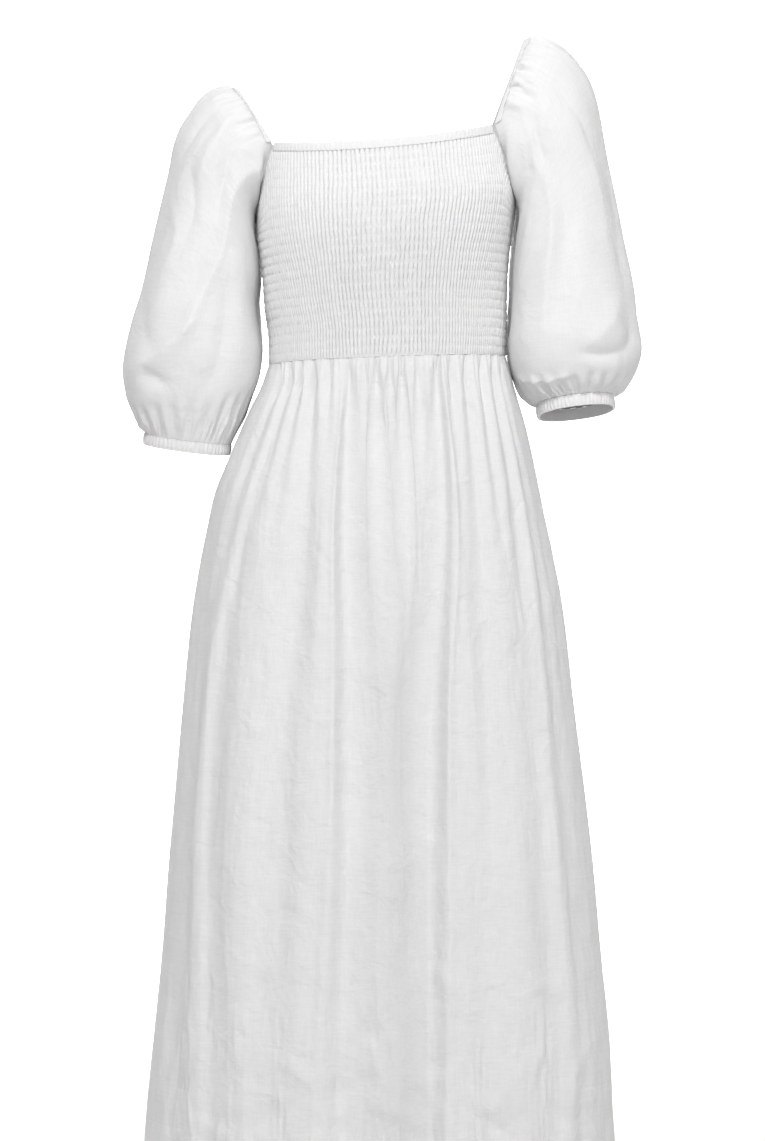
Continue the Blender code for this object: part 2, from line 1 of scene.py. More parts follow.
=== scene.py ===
# %% [markdown]
# # A white linen midi dress
# The dress is worn: a smocked bodice with a square neckline, two puff sleeves on narrow elastic
# cuffs, and a long skirt gathered to the waist seam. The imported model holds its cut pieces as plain
# walls. This lesson lays a finer cloth over each of them: the ribs and thread rows of the smocking,
# the gathers, the folds, the creases of worn linen, and the stitches.
#
# Every shape is a function of two parameters, worked out for a whole grid of points at once.

import bmesh
import bpy
import numpy as np
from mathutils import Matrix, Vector


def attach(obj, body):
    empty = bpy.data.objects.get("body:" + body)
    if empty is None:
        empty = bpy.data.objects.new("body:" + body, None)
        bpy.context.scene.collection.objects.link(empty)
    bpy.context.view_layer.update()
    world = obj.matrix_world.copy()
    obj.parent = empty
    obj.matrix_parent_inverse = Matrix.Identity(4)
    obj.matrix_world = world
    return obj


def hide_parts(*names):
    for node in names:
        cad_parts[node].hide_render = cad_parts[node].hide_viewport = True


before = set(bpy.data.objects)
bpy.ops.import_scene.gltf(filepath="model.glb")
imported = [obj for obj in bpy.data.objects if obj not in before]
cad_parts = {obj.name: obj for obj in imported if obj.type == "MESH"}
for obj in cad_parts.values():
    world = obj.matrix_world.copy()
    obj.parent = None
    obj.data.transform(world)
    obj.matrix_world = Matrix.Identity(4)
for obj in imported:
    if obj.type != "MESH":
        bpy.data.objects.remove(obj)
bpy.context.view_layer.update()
print("cut pieces:", ", ".join(sorted(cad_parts)))

# %% [markdown]
# ## Camera
# The photograph is taken level, from in front, at about the height of the hips, with a long lens.
# It is 1141 pixels high and a pixel is 1.09 mm at the side seams, so a lens that covers 1.244 m at
# 4 m shows the dress at the same size. A level camera keeps the upright lines upright.

# %% Set the camera
METRES_A_PIXEL = 0.00109
CAMERA_DISTANCE = 4.0
CAMERA_HEIGHT = -0.5499
CAMERA_SIDE = -0.0027
SENSOR = 36.0

lens = bpy.data.cameras.new("camera")
lens.sensor_fit = "VERTICAL"
lens.sensor_height = SENSOR
lens.lens = SENSOR * CAMERA_DISTANCE / (1141 * METRES_A_PIXEL)
camera = bpy.data.objects.new("camera", lens)
camera.location = (CAMERA_SIDE, -CAMERA_DISTANCE, CAMERA_HEIGHT)
camera.rotation_euler = (np.radians(90.0), 0.0, 0.0)
bpy.context.scene.collection.objects.link(camera)
bpy.context.scene.camera = camera
print(f"lens {lens.lens:.1f} mm at {CAMERA_DISTANCE} m")


# %% [markdown]
# ## Small helpers
# A colour is written as the hex code that a paint program shows, and one function turns it to the
# linear values that a renderer needs. A second small function adds a node to a material. Tables
# with named columns, one smooth curve and one soft step serve all of the shapes.

# %% Colours and nodes
def colour(code):
    """Linear red, green and blue of an sRGB hex code: each part is undone by the sRGB curve."""
    part = np.array([int(code[i:i + 2], 16) for i in (0, 2, 4)]) / 255.0
    linear = np.where(part <= 0.04045, part / 12.92, ((part + 0.055) / 1.055) ** 2.4)
    return (*linear.tolist(), 1.0)


def add(tree, kind, inputs=(), **settings):
    """Add a node, give it its settings, and link or set each input that is named."""
    made = tree.nodes.new(kind)
    for name, value in settings.items():
        setattr(made, name, value)
    for name, value in dict(inputs).items():
        if isinstance(value, bpy.types.NodeSocket):
            tree.links.new(value, made.inputs[name])
        else:
            made.inputs[name].default_value = value
    return made


print("white is", colour("FFFFFF"))


# %% Curves and tables
def table(names, rows):
    """A short table as a dictionary of named columns."""
    return dict(zip(names.split(), np.array(rows, dtype=float).T))


def ease(amount):
    """Soft step from 0 to 1: three times the square less twice the cube."""
    amount = np.clip(amount, 0.0, 1.0)
    return amount * amount * (3.0 - 2.0 * amount)


def spline(at, knots, values):
    """Smooth curve through the values at the knots, which may be rows of points.

    Between two knots it is the cubic that has both values and both slopes, and the slope at a knot
    is the mean of the slopes on its two sides, weighted by the other side's length.
    """
    at = np.asarray(at, dtype=float)
    knots = np.asarray(knots, dtype=float)
    values = np.asarray(values, dtype=float)
    if knots[0] > knots[-1]:
        knots, values = knots[::-1], values[::-1]
    step = np.diff(knots)
    extra = (1,) * (values.ndim - 1)
    pace = np.diff(values, axis=0) / step.reshape((-1,) + extra)
    left = step[:-1].reshape((-1,) + extra)
    right = step[1:].reshape((-1,) + extra)
    inner = (pace[:-1] * right + pace[1:] * left) / (left + right)
    slope = np.concatenate([pace[:1], inner, pace[-1:]])
    part = np.clip(np.searchsorted(knots, at, side="right") - 1, 0, len(step) - 1)
    span = step[part].reshape(at.shape + extra)
    along = np.clip((at - knots[part]) / step[part], 0.0, 1.0).reshape(at.shape + extra)
    rise = along * along * (3.0 - 2.0 * along)
    start = along * (1.0 - along) ** 2 * span
    end = along * along * (along - 1.0) * span
    low, high = values[part], values[part + 1]
    return low + (high - low) * rise + slope[part] * start + slope[part + 1] * end


# %% [markdown]
# Cloth is never quite even. A grid of random numbers, eased from one to the next, gives a smooth
# chance value anywhere on the cloth. The numbers are seeded, so each run gives the same dress.

# %% Unevenness
CHANCE = np.random.default_rng(20).random((64, 64))


def uneven(u, v, seed=0):
    """Smooth chance value from -1 to 1: the four nearest grid numbers, mixed by soft steps."""
    i, j = np.floor(u).astype(int), np.floor(v).astype(int)
    a, b = ease(u - i), ease(v - j)
    i, j = i + 17 * seed, j + 29 * seed
    pick = [[CHANCE[(i + m) % 64, (j + n) % 64] for n in (0, 1)] for m in (0, 1)]
    near = pick[0][0] * (1.0 - a) + pick[1][0] * a
    far = pick[0][1] * (1.0 - a) + pick[1][1] * a
    return 2.0 * (near * (1.0 - b) + far * b) - 1.0


print("chance values from", CHANCE.min().round(3), "to", CHANCE.max().round(3))

# %% [markdown]
# ## The body's form
# The worn dress is a stack of rings. A ring has a slope, because one shoulder is lower, a middle,
# half of its width at the side seams, and its depth before and behind them. A smooth curve through
# the table gives the ring at any height, so the same numbers serve coarse walls and fine cloth.

# %% The body's rings
WAIST = -0.3220
HEM = -1.2100
GAP = 0.0003
WALL = 0.0012
BODY_SQUARE = 0.12

BODICE = table("height slope middle half front back", [
    (-0.322, 0.036, 0.0025, 0.1293, 0.0990, 0.0880),
    (-0.290, 0.042, 0.0028, 0.1300, 0.1030, 0.0900),
    (-0.260, 0.048, 0.0009, 0.1321, 0.1080, 0.0930),
    (-0.220, 0.056, 0.0004, 0.1347, 0.1170, 0.0970),
    (-0.185, 0.063, 0.0006, 0.1390, 0.1230, 0.1000),
    (-0.150, 0.069, 0.0016, 0.1420, 0.1220, 0.1020),
    (-0.120, 0.075, 0.0000, 0.1400, 0.1140, 0.1030),
    (-0.080, 0.082, -0.0021, 0.1360, 0.1030, 0.1020),
    (-0.050, 0.086, -0.0021, 0.1330, 0.0950, 0.1000),
])
SKIRT = table("height slope middle half front back", [
    (-0.322, 0.036, 0.0025, 0.1293, 0.0990, 0.0880),
    (-0.348, 0.034, 0.0014, 0.1376, 0.1080, 0.0990),
    (-0.370, 0.030, -0.0008, 0.1464, 0.1150, 0.1080),
    (-0.397, 0.025, -0.0027, 0.1564, 0.1210, 0.1160),
    (-0.430, 0.020, -0.0057, 0.1671, 0.1270, 0.1240),
    (-0.462, 0.015, -0.0087, 0.1768, 0.1320, 0.1310),
    (-0.500, 0.010, -0.0092, 0.1848, 0.1370, 0.1380),
    (-0.571, 0.005, -0.0082, 0.1990, 0.1440, 0.1480),
    (-0.702, 0.000, -0.0071, 0.2142, 0.1550, 0.1600),
    (-0.789, 0.000, -0.0055, 0.2235, 0.1610, 0.1660),
    (-0.876, 0.000, -0.0044, 0.2322, 0.1670, 0.1720),
    (-0.964, 0.000, -0.0038, 0.2393, 0.1715, 0.1770),
    (-1.051, 0.000, -0.0038, 0.2480, 0.1760, 0.1815),
    (-1.138, 0.000, -0.0058, 0.2545, 0.1800, 0.1855),
    (-1.210, 0.000, -0.0060, 0.2590, 0.1830, 0.1890),
])


def ring_point(shape, theta, height, facing, out=0.0):
    """Point at angle theta from the -X side seam to the +X one, on the front or the back.

    Across it is minus the half width times the cosine, and in depth the depth times the sine. Each
    is made larger by a small share of the other's square, which rounds the ring towards a square.
    """
    slope, middle, half, depth = (
        spline(height, shape["height"], shape[column]) for column in ("slope", "middle", "half", facing)
    )
    sign = -1.0 if facing == "front" else 1.0
    cos, sin = np.cos(theta), np.sin(theta)
    across = -(half + out) * cos * (1.0 + BODY_SQUARE * sin * sin)
    y = sign * (depth + out) * sin * (1.0 + BODY_SQUARE * cos * cos)
    z = height + slope * across
    return np.stack(np.broadcast_arrays(middle + across, y, z), axis=-1)


print("waist seam is", round(2.0 * float(BODICE["half"][0]), 3), "m wide")


# %% [markdown]
# ## Cloth as a closed shell
# Each piece of cloth has an outer face, an inner face and thin rims that join them. The outer grid
# is fine. The inner one is up to six times coarser, because it lies in shade, and rows of
# triangles join the two. The cut cloth's own width and length, in metres, are its UV map, so the
# weave follows the threads wherever the cloth bends.

# %% Normals and rims
def normals(points, closed):
    """Unit normals of a grid: the cross product of its steps down and across."""
    down = np.gradient(points, axis=0)
    round_it = np.roll(points, -1, axis=1) - np.roll(points, 1, axis=1)
    side = round_it if closed else np.gradient(points, axis=1)
    normal = np.cross(down, side)
    return normal / np.linalg.norm(normal, axis=-1, keepdims=True)


def outward(points, facing):
    """Normals of a front or back piece, turned so that they point away from the body."""
    normal = normals(points, closed=False)
    middle = normal.shape[1] // 2
    sign = -1.0 if facing == "front" else 1.0
    return normal * np.sign(normal[:, middle:middle + 1, 1:2]) * sign


def rim(first, second):
    """Triangles between two lines of vertices of any lengths.

    Both lines are walked at an even pace, and each step of one makes a triangle with the vertex
    that the other has come to.
    """
    a = (np.arange(len(first) - 1) + 0.5) / (len(first) - 1)
    b = (np.arange(len(second) - 1) + 0.5) / (len(second) - 1)
    on_first = np.stack([first[:-1], first[1:], second[np.searchsorted(b, a, side="left")]], axis=1)
    on_second = np.stack([first[np.searchsorted(a, b, side="right")], second[1:], second[:-1]], axis=1)
    return np.concatenate([on_first, on_second])


print("a rim of 5 and 3 vertices has", len(rim(np.arange(5), np.arange(3))), "triangles")


# %% Build a shell
SHELLS = {}


def lattice(grid, start, closed, flat):
    """Vertex number and UV of each place of a grid, with a last column again where it closes."""
    rows, columns = grid.shape[:2]
    wide = columns + int(closed)
    number = start + np.arange(rows * columns).reshape(rows, columns)[:, np.arange(wide) % columns]
    u, v = np.meshgrid(np.linspace(0.0, flat[0], wide), np.linspace(0.0, -flat[1], rows))
    return number, np.stack([u, v], axis=-1)


def build_shell(name, outer, inner, flat, closed, material, sharp=55.0):
    """One closed shell from an outer and an inner grid, with its UV map "cut" in metres."""
    first, first_uv = lattice(outer, 0, closed, flat)
    second, second_uv = lattice(inner, outer[..., 0].size, closed, flat)
    places = np.concatenate([first.ravel(), second.ravel()])
    place_uv = np.concatenate([first_uv.reshape(-1, 2), second_uv.reshape(-1, 2)])
    one = np.arange(first.size).reshape(first.shape)
    two = first.size + np.arange(second.size).reshape(second.shape)
    quads = np.concatenate([
        np.stack([g[:-1, :-1], g[:-1, 1:], g[1:, 1:], g[1:, :-1]], axis=-1).reshape(-1, 4)
        for g in (one, two)
    ])
    edges = [(one[0], two[0]), (one[-1], two[-1])]
    if not closed:
        edges += [(one[:, 0], two[:, 0]), (one[:, -1], two[:, -1])]
    thirds = np.concatenate([rim(*edge) for edge in edges])
    corners = np.concatenate([quads.ravel(), thirds.ravel()])
    mesh = bpy.data.meshes.new(name)
    points = np.concatenate([outer.reshape(-1, 3), inner.reshape(-1, 3)])
    mesh.from_pydata(points.tolist(), [], places[quads].tolist() + places[thirds].tolist())
    mesh.uv_layers.new(name="cut").data.foreach_set("uv", place_uv[corners].ravel())
    face_outwards(mesh)
    mesh.shade_smooth()
    mesh.set_sharp_from_angle(angle=np.radians(sharp))
    mesh.materials.append(material)
    piece = bpy.data.objects.new(name, mesh)
    bpy.context.scene.collection.objects.link(piece)
    SHELLS[name] = (outer, closed)
    print(f"{name}: {len(quads) * 2 + len(thirds)} triangles")
    return piece


def face_outwards(mesh):
    """Turn all faces of a closed mesh the same way, with a volume above nothing."""
    work = bmesh.new()
    work.from_mesh(mesh)
    bmesh.ops.recalc_face_normals(work, faces=work.faces)
    if work.calc_volume(signed=True) < 0.0:
        bmesh.ops.reverse_faces(work, faces=work.faces)
    work.to_mesh(mesh)
    work.free()


# %% [markdown]
# ## Linen
# The cloth is a light plain-woven linen, bleached white and washed. To the eye it is matt, with a
# faint sheen at a flat angle, thick and thin threads that run both ways, and shallow creases
# everywhere. Real threads are about 0.5 mm apart, too fine for a picture of the whole dress, so the
# weave is drawn at 1.0 mm and the slubs, which are thick stretches of thread, at 2 mm and more.

# %% The linen material
THREAD = 0.0010
WAVE_PERIOD = np.pi / 10.0


def linen(name, white, shade, slub, crease, weave):
    """Woven white linen: three bumps, of creases, slubs and threads, and a faint mottling."""
    material = bpy.data.materials.new(name)
    material.use_nodes = True
    tree = material.node_tree
    surface = tree.nodes["Principled BSDF"]
    cut = add(tree, "ShaderNodeUVMap", uv_map="cut").outputs["UV"]
    body = add(tree, "ShaderNodeTexCoord").outputs["Object"]
    across = add(tree, "ShaderNodeMapping", {"Vector": cut, "Scale": (40.0, 520.0, 1.0)}).outputs[0]
    along = add(tree, "ShaderNodeMapping", {"Vector": cut, "Scale": (520.0, 40.0, 1.0)}).outputs[0]
    thick = {"Scale": 1.0, "Detail": 3.0, "Roughness": 0.6}
    weft = add(tree, "ShaderNodeTexNoise", {"Vector": across, **thick}).outputs["Fac"]
    warp = add(tree, "ShaderNodeTexNoise", {"Vector": along, **thick}).outputs["Fac"]
    slubs = add(tree, "ShaderNodeMath", {0: weft, 1: warp}, operation="ADD").outputs[0]
    waves = {"Vector": cut, "Scale": WAVE_PERIOD / THREAD}
    over = add(tree, "ShaderNodeTexWave", waves, bands_direction="X").outputs["Fac"]
    under = add(tree, "ShaderNodeTexWave", waves, bands_direction="Y").outputs["Fac"]
    threads = add(tree, "ShaderNodeMath", {0: over, 1: under}, operation="MAXIMUM").outputs[0]
    rumple = {"Vector": body, "Scale": 34.0, "Detail": 4.0, "Roughness": 0.55, "Distortion": 0.6}
    rumples = add(tree, "ShaderNodeTexNoise", rumple).outputs["Fac"]
    soft = add(tree, "ShaderNodeBump", {"Height": rumples, "Distance": crease, "Strength": 1.0})
    middle = {"Height": slubs, "Distance": slub, "Strength": 1.0, "Normal": soft.outputs[0]}
    coarse = add(tree, "ShaderNodeBump", middle)
    fine = {"Height": threads, "Distance": weave, "Strength": 1.0, "Normal": coarse.outputs[0]}
    relief = add(tree, "ShaderNodeBump", fine)
    spread = {"Value": slubs, "From Min": 0.72, "From Max": 1.28}
    share = add(tree, "ShaderNodeMapRange", spread).outputs["Result"]
    mottle = {0: share, 6: colour(white), 7: colour(shade)}
    tint = add(tree, "ShaderNodeMix", mottle, data_type="RGBA")
    tree.links.new(tint.outputs[2], surface.inputs["Base Color"])
    tree.links.new(relief.outputs[0], surface.inputs["Normal"])
    surface.inputs["Roughness"].default_value = 0.86
    surface.inputs["Specular IOR Level"].default_value = 0.3
    surface.inputs["Sheen Weight"].default_value = 0.12
    surface.inputs["Sheen Roughness"].default_value = 0.5
    return material


SKIRT_LINEN = linen("washed_linen_skirt", "EAEAEA", "E3E3E3", 0.00016, 0.0030, 0.00010)
SLEEVE_LINEN = linen("washed_linen_sleeve", "ECECEC", "E6E6E6", 0.00014, 0.0022, 0.00010)
SMOCKED_LINEN = linen("smocked_linen", "ECECEC", "E4E4E4", 0.0001, 0.0004, 0.00006)
CASING_LINEN = linen("elastic_casing_linen", "ECECEC", "E4E4E4", 0.0001, 0.0004, 0.00006)
print("linens:", [m.name for m in (SKIRT_LINEN, SLEEVE_LINEN, SMOCKED_LINEN, CASING_LINEN)])

# %% [markdown]
# The stitches are a smooth cotton thread, a little whiter and shinier than the cloth. The thread is
# twisted, which shows only as a fine diagonal ripple.

# %% The thread material
THREAD_COTTON = bpy.data.materials.new("spun_cotton_thread")
THREAD_COTTON.use_nodes = True
tree = THREAD_COTTON.node_tree
body = add(tree, "ShaderNodeTexCoord").outputs["Object"]
turned = add(tree, "ShaderNodeMapping", {"Vector": body, "Rotation": (0.4, 0.6, 0.5)}).outputs[0]
twist = add(tree, "ShaderNodeTexWave", {"Vector": turned, "Scale": WAVE_PERIOD / 0.0006}).outputs["Fac"]
bump = add(tree, "ShaderNodeBump", {"Height": twist, "Distance": 0.0001, "Strength": 1.0})
surface = tree.nodes["Principled BSDF"]
tree.links.new(bump.outputs[0], surface.inputs["Normal"])
surface.inputs["Base Color"].default_value = colour("F4F2EF")
surface.inputs["Roughness"].default_value = 0.55
print("thread:", THREAD_COTTON.name)

# %% [markdown]
# ## The smocked bodice
# Real smocking of this kind is sewn with elastic thread in level rows about 9.7 mm apart. The
# elastic draws the cloth together, so that it stands up in narrow ribs, 92 of them on each half, and
# each groove closes a little where a row crosses it. Below the bust the ribs slant in from the
# sides towards the middle, because the cloth is drawn to the waist.
#
# It could be one bump in the material, but the ribs show at the outline and in every shadow, so
# here they are real form. The grid's columns follow the ribs, six to a rib, and are closer together
# beside a groove than on a rib's back, so every groove is narrow and has its own column.

# %% Neckline and armholes
NECK_CASING = 0.0080
CORNER = {"front": 0.585, "back": 0.600}
NECK = {"front": -0.0805, "back": -0.0740}
NECK_DIP = {"front": 0.0110, "back": 0.0040}
UNDERARM = {"left": -0.1420, "right": -0.1600}


def neck_height(theta, facing):
    """Height of the neckline: level, less half a sine wave's dip between its corners."""
    corner = CORNER[facing]
    between = np.clip((theta - corner) / (np.pi - 2.0 * corner), 0.0, 1.0)
    return NECK[facing] - NECK_DIP[facing] * np.sin(np.pi * between)


def armhole_height(theta, facing):
    """Height of the armhole seam: it rises with the square of the way to the neckline's corner."""
    low = np.where(theta < np.pi / 2.0, UNDERARM["left"], UNDERARM["right"])
    way = np.minimum(theta, np.pi - theta) / CORNER[facing]
    return low + (NECK[facing] - low) * np.minimum(way, 1.0) ** 2


print("neckline is", round(1000 * (NECK["front"] - WAIST)), "mm above the waist seam")

# %% Ribs and thread rows
RIBS = 92
RIB_PLACES = np.array([0.0, 0.13, 0.31, 0.50, 0.69, 0.87])
RIB_DEPTH = 0.0036
THREAD_ROW = 0.0097
ROW_PLACES = np.array([0.0, 0.12, 0.30, 0.50, 0.70, 0.88])
LEVEL_ROWS = 15
ALL_ROWS = 23
SLANT = 0.22
ROW_REACH = 0.14
GROOVE_CLOSED = 0.72
BACK_LOWERED = 0.24
RIB_PUFF = 0.12


def rib_angles(rib, height):
    """Angle of each place on the ribs at each height.

    At the top a rib's angle is its number's share of the half turn. Below the bust it moves towards
    the middle by the slant times the squared cosine of that angle, and it sways a little.
    """
    theta = np.pi * rib / RIBS
    side = ease(np.minimum(rib, RIBS - rib) / 6.0)
    drawn = ease((-0.150 - height) / 0.140)
    row = (height - WAIST) / THREAD_ROW
    sway = 0.09 * uneven(0.9 * rib, 1.0 * row, 3) + 0.16 * uneven(0.22 * rib, 0.35 * row, 4)
    return theta + side * (SLANT * drawn * np.cos(theta) * np.abs(np.cos(theta)) + np.pi * sway / RIBS)


def row_height(row, top):
    """Height of a place counted in thread rows: level below the armholes, and above them the rest
    of the rows share what is left up to the cloth's top edge."""
    level = WAIST + THREAD_ROW * np.minimum(row, LEVEL_ROWS)
    rest = np.maximum(row - LEVEL_ROWS, 0.0) / (ALL_ROWS - LEVEL_ROWS)
    return level + rest * (top - WAIST - THREAD_ROW * LEVEL_ROWS)


def smocking(rib, row):
    """Relief of the smocking, from 0 on a rib's back to minus its depth in a groove.

    Across a rib it is minus the cube of the distance from the rib's middle, in half ribs. Where a
    thread row crosses, by a bell over the distance to the row, the groove is less deep and the
    rib's back is lower.
    """
    across = np.abs(2.0 * (rib - np.floor(rib)) - 1.0)
    deep = 0.86 + 0.14 * uneven(1.03 * rib, 0.8 * row, 5)
    stitch = np.exp(-((row - np.round(row)) / ROW_REACH) ** 2) * (0.8 + 0.2 * uneven(rib, row, 6))
    groove = across ** 3 * deep * (1.0 - GROOVE_CLOSED * stitch)
    puff = RIB_PUFF * uneven(1.1 * rib, 1.3 * row, 7) * (1.0 - across)
    return -RIB_DEPTH * np.clip(groove + BACK_LOWERED * stitch * (1.0 - across ** 3) - puff, 0.0, 1.0)


print("thread rows:", ALL_ROWS, "of them level all round:", LEVEL_ROWS)


# %% The two halves of the bodice
RIB_LIFT = 0.0003
SEAM_RISE = 0.0040
SEAM_SINK = 0.0006
TUCK = 0.0007


def bodice_panel(facing):
    """Rows run from the waist seam up to the armhole and the neck casing, columns round the body.

    The ribs are flatter beside the waist seam, and the last third of the top row is tucked in
    under the casing.
    """
    margin = 0.5 * GAP / BODICE[facing].min() * RIBS / np.pi
    rib = np.append((np.arange(RIBS)[:, None] + RIB_PLACES).ravel(), RIBS)
    rib = np.clip(rib, margin, RIBS - margin)
    theta = np.pi * rib / RIBS
    row = np.append((np.arange(ALL_ROWS)[:, None] + ROW_PLACES).ravel(), ALL_ROWS)[:, None]
    top = np.minimum(armhole_height(theta, facing), neck_height(theta, facing) - NECK_CASING - GAP)
    height = row_height(row, top)
    rib = np.broadcast_to(rib, height.shape)
    around = rib_angles(rib, height)
    seam = ease((height - WAIST) / SEAM_RISE)
    relief = RIB_LIFT + smocking(rib, row) * (0.45 + 0.55 * seam) - SEAM_SINK * (1.0 - seam)
    tuck = ease((row - ALL_ROWS + 0.32) / 0.20)
    relief = relief * (1.0 - tuck) - TUCK * tuck
    outer = ring_point(BODICE, around, height, facing, relief)
    coarse = np.ix_(range(0, len(row), 6), range(0, rib.shape[1], 4))
    inner = ring_point(BODICE, around[coarse], height[coarse], facing, -RIB_DEPTH - WALL)
    name = f"smocked_bodice_{facing}"
    return build_shell(name, outer, inner, (0.62, 0.25), False, SMOCKED_LINEN, 70.0)


bodice = {facing: bodice_panel(facing) for facing in ("front", "back")}

# %% [markdown]
# ## The neck casings
# A casing is a narrow tube of cloth with a flat elastic inside. It closes the neckline, laps a
# little over the smocking, puffs between its two edges, and gathers into fine ribs about 4 mm apart.

# %% The neck casings
NECK_CASING_RIBS = 50
CASING_PUFF = 0.0009
CASING_LAP = 0.0016
CASING_SINK = 0.0006
CASING_RIB = 0.0007
CASING_RAISE = 0.0006


def casing_profile(share):
    """How far a casing puffs out across its height: a half circle's edge, share from 0 to 1."""
    return np.sqrt(np.clip(1.0 - (2.0 * share - 1.0) ** 2, 0.0, 1.0))


def neck_casing(facing):
    """Rows run down the casing, columns along the neckline from corner to corner."""
    corner = CORNER[facing]
    theta = np.linspace(corner, np.pi - corner, 8 * NECK_CASING_RIBS + 1)
    share = np.linspace(0.0, 1.0, 13)[:, None]
    height = neck_height(theta, facing) - (NECK_CASING + CASING_LAP) * share
    around = np.broadcast_to(theta, height.shape)
    rib = NECK_CASING_RIBS * (around - corner) / (np.pi - 2.0 * corner)
    phase = rib + 0.25 * uneven(0.7 * rib, 2.0 * share, 7)
    ribs = (np.abs(np.sin(np.pi * phase)) ** 0.8 - 1.0) * (0.9 + 0.3 * uneven(rib, share, 8))
    puff = casing_profile(share)
    lap = ease((share - 0.75) / 0.2)
    out = (CASING_PUFF + CASING_RIB * ribs) * puff - CASING_SINK + CASING_RAISE * lap
    outer = ring_point(BODICE, around, height, facing, out)
    coarse = np.ix_(range(0, 13, 3), range(0, len(theta), 4))
    hollow = -0.0030 + 0.0008 * (1.0 - puff[::3]) + 0.0016 * lap[::3]
    inner = ring_point(BODICE, around[coarse], height[coarse], facing, hollow)
    name = f"neck_casing_cloth_{facing}"
    return build_shell(name, outer, inner, (0.36, 0.03), False, CASING_LINEN, 80.0)


necks = {facing: neck_casing(facing) for facing in ("front", "back")}

# %% [markdown]
# ## The skirt's folds
# The skirt is cut wider than the waist and gathered to it, so small folds start at the seam. Most
# of them die away within a hand's length, and a few run down to the hem. A table gives each fold as
# the eye follows it: where it lies at four heights, how deep it is there, how wide, and to which
# side its steep face leans. The back has the same kind of folds in another order.

# %% The folds as tables
FOLD_HEIGHTS = (-0.345, -0.462, -0.713, -1.027)
FOLD_WIDTHS = (0.0050, 0.0090, 0.0160, 0.0200)
FOLD_SHOULDER = 0.28
GATHER_RUN_IN = 0.022
SIDE_RUN_IN = 0.022
FRONT_FOLDS = table("waist hip knee hem deep_waist deep_hip deep_knee deep_hem wide lean", [
    (-0.114, -0.155, -0.202, -0.226, 0.0030, 0.0020, 0.0010, 0.0020, 1.0, 0.0),
    (-0.102, -0.136, -0.183, -0.189, 0.0040, 0.0025, 0.0050, 0.0060, 1.1, -0.3),
    (-0.090, -0.113, -0.152, -0.159, 0.0035, 0.0015, 0.0000, 0.0010, 1.0, 0.0),
    (-0.077, -0.085, -0.107, -0.128, 0.0045, 0.0060, 0.0060, 0.0030, 1.2, 0.0),
    (-0.060, -0.067, -0.080, -0.097, 0.0035, 0.0010, 0.0000, 0.0000, 0.8, 0.0),
    (-0.040, -0.043, -0.037, -0.044, 0.0050, 0.0085, 0.0110, 0.0080, 1.0, -0.5),
    (-0.021, -0.024, -0.015, -0.018, 0.0035, 0.0010, 0.0000, 0.0000, 0.8, 0.0),
    (-0.010, -0.008, 0.002, 0.002, 0.0045, 0.0050, 0.0010, 0.0010, 0.9, 0.0),
    (0.006, 0.009, 0.016, 0.016, 0.0030, 0.0005, 0.0000, 0.0000, 0.7, 0.0),
    (0.018, 0.021, 0.026, 0.026, 0.0035, 0.0020, 0.0010, 0.0000, 0.7, 0.2),
    (0.036, 0.044, 0.037, 0.036, 0.0032, 0.0016, 0.0008, 0.0004, 0.9, -0.2),
    (0.057, 0.066, 0.051, 0.047, 0.0055, 0.0095, 0.0120, 0.0085, 1.0, 0.5),
    (0.070, 0.080, 0.083, 0.083, 0.0030, 0.0010, 0.0000, 0.0000, 0.8, 0.0),
    (0.087, 0.098, 0.112, 0.118, 0.0045, 0.0045, 0.0020, 0.0030, 1.0, 0.1),
    (0.103, 0.116, 0.135, 0.149, 0.0030, 0.0010, 0.0000, 0.0010, 0.8, 0.0),
    (0.116, 0.136, 0.157, 0.178, 0.0045, 0.0050, 0.0030, 0.0040, 1.1, 0.1),
    (0.124, 0.151, 0.182, 0.207, 0.0025, 0.0020, 0.0010, 0.0010, 0.9, 0.0),
])
BACK_FOLDS = {name: column[::-1].copy() for name, column in FRONT_FOLDS.items()}
for name in ("waist", "hip", "knee", "hem"):
    BACK_FOLDS[name] = -0.97 * BACK_FOLDS[name] + 0.10 * np.abs(BACK_FOLDS[name]) - 0.003
for name in ("deep_waist", "deep_hip", "deep_knee", "deep_hem"):
    BACK_FOLDS[name] = 0.9 * np.roll(BACK_FOLDS[name], 2)
BACK_FOLDS["wide"] = np.roll(BACK_FOLDS["wide"], 2)
BACK_FOLDS["lean"] = -np.roll(BACK_FOLDS["lean"], 2)
FOLDS = {"front": FRONT_FOLDS, "back": BACK_FOLDS}
print("folds on each half:", len(FRONT_FOLDS["wide"]))


# %% Relief of the folds
def fold_angles(folds, height):
    """Angle of each fold at each height: its place across the body, turned back into an angle."""
    places = np.stack([folds[name] for name in ("waist", "hip", "knee", "hem")])
    half = spline(height, SKIRT["height"], SKIRT["half"])[..., None]
    middle = spline(height, SKIRT["height"], SKIRT["middle"])[..., None]
    share = np.clip((spline(height, FOLD_HEIGHTS, places) - middle) / half, -0.999, 0.999)
    cos = share / (1.0 + BODY_SQUARE * (1.0 - share * share))
    cos = share / (1.0 + BODY_SQUARE * (1.0 - cos * cos))
    return np.arccos(np.clip(-cos, -1.0, 1.0))


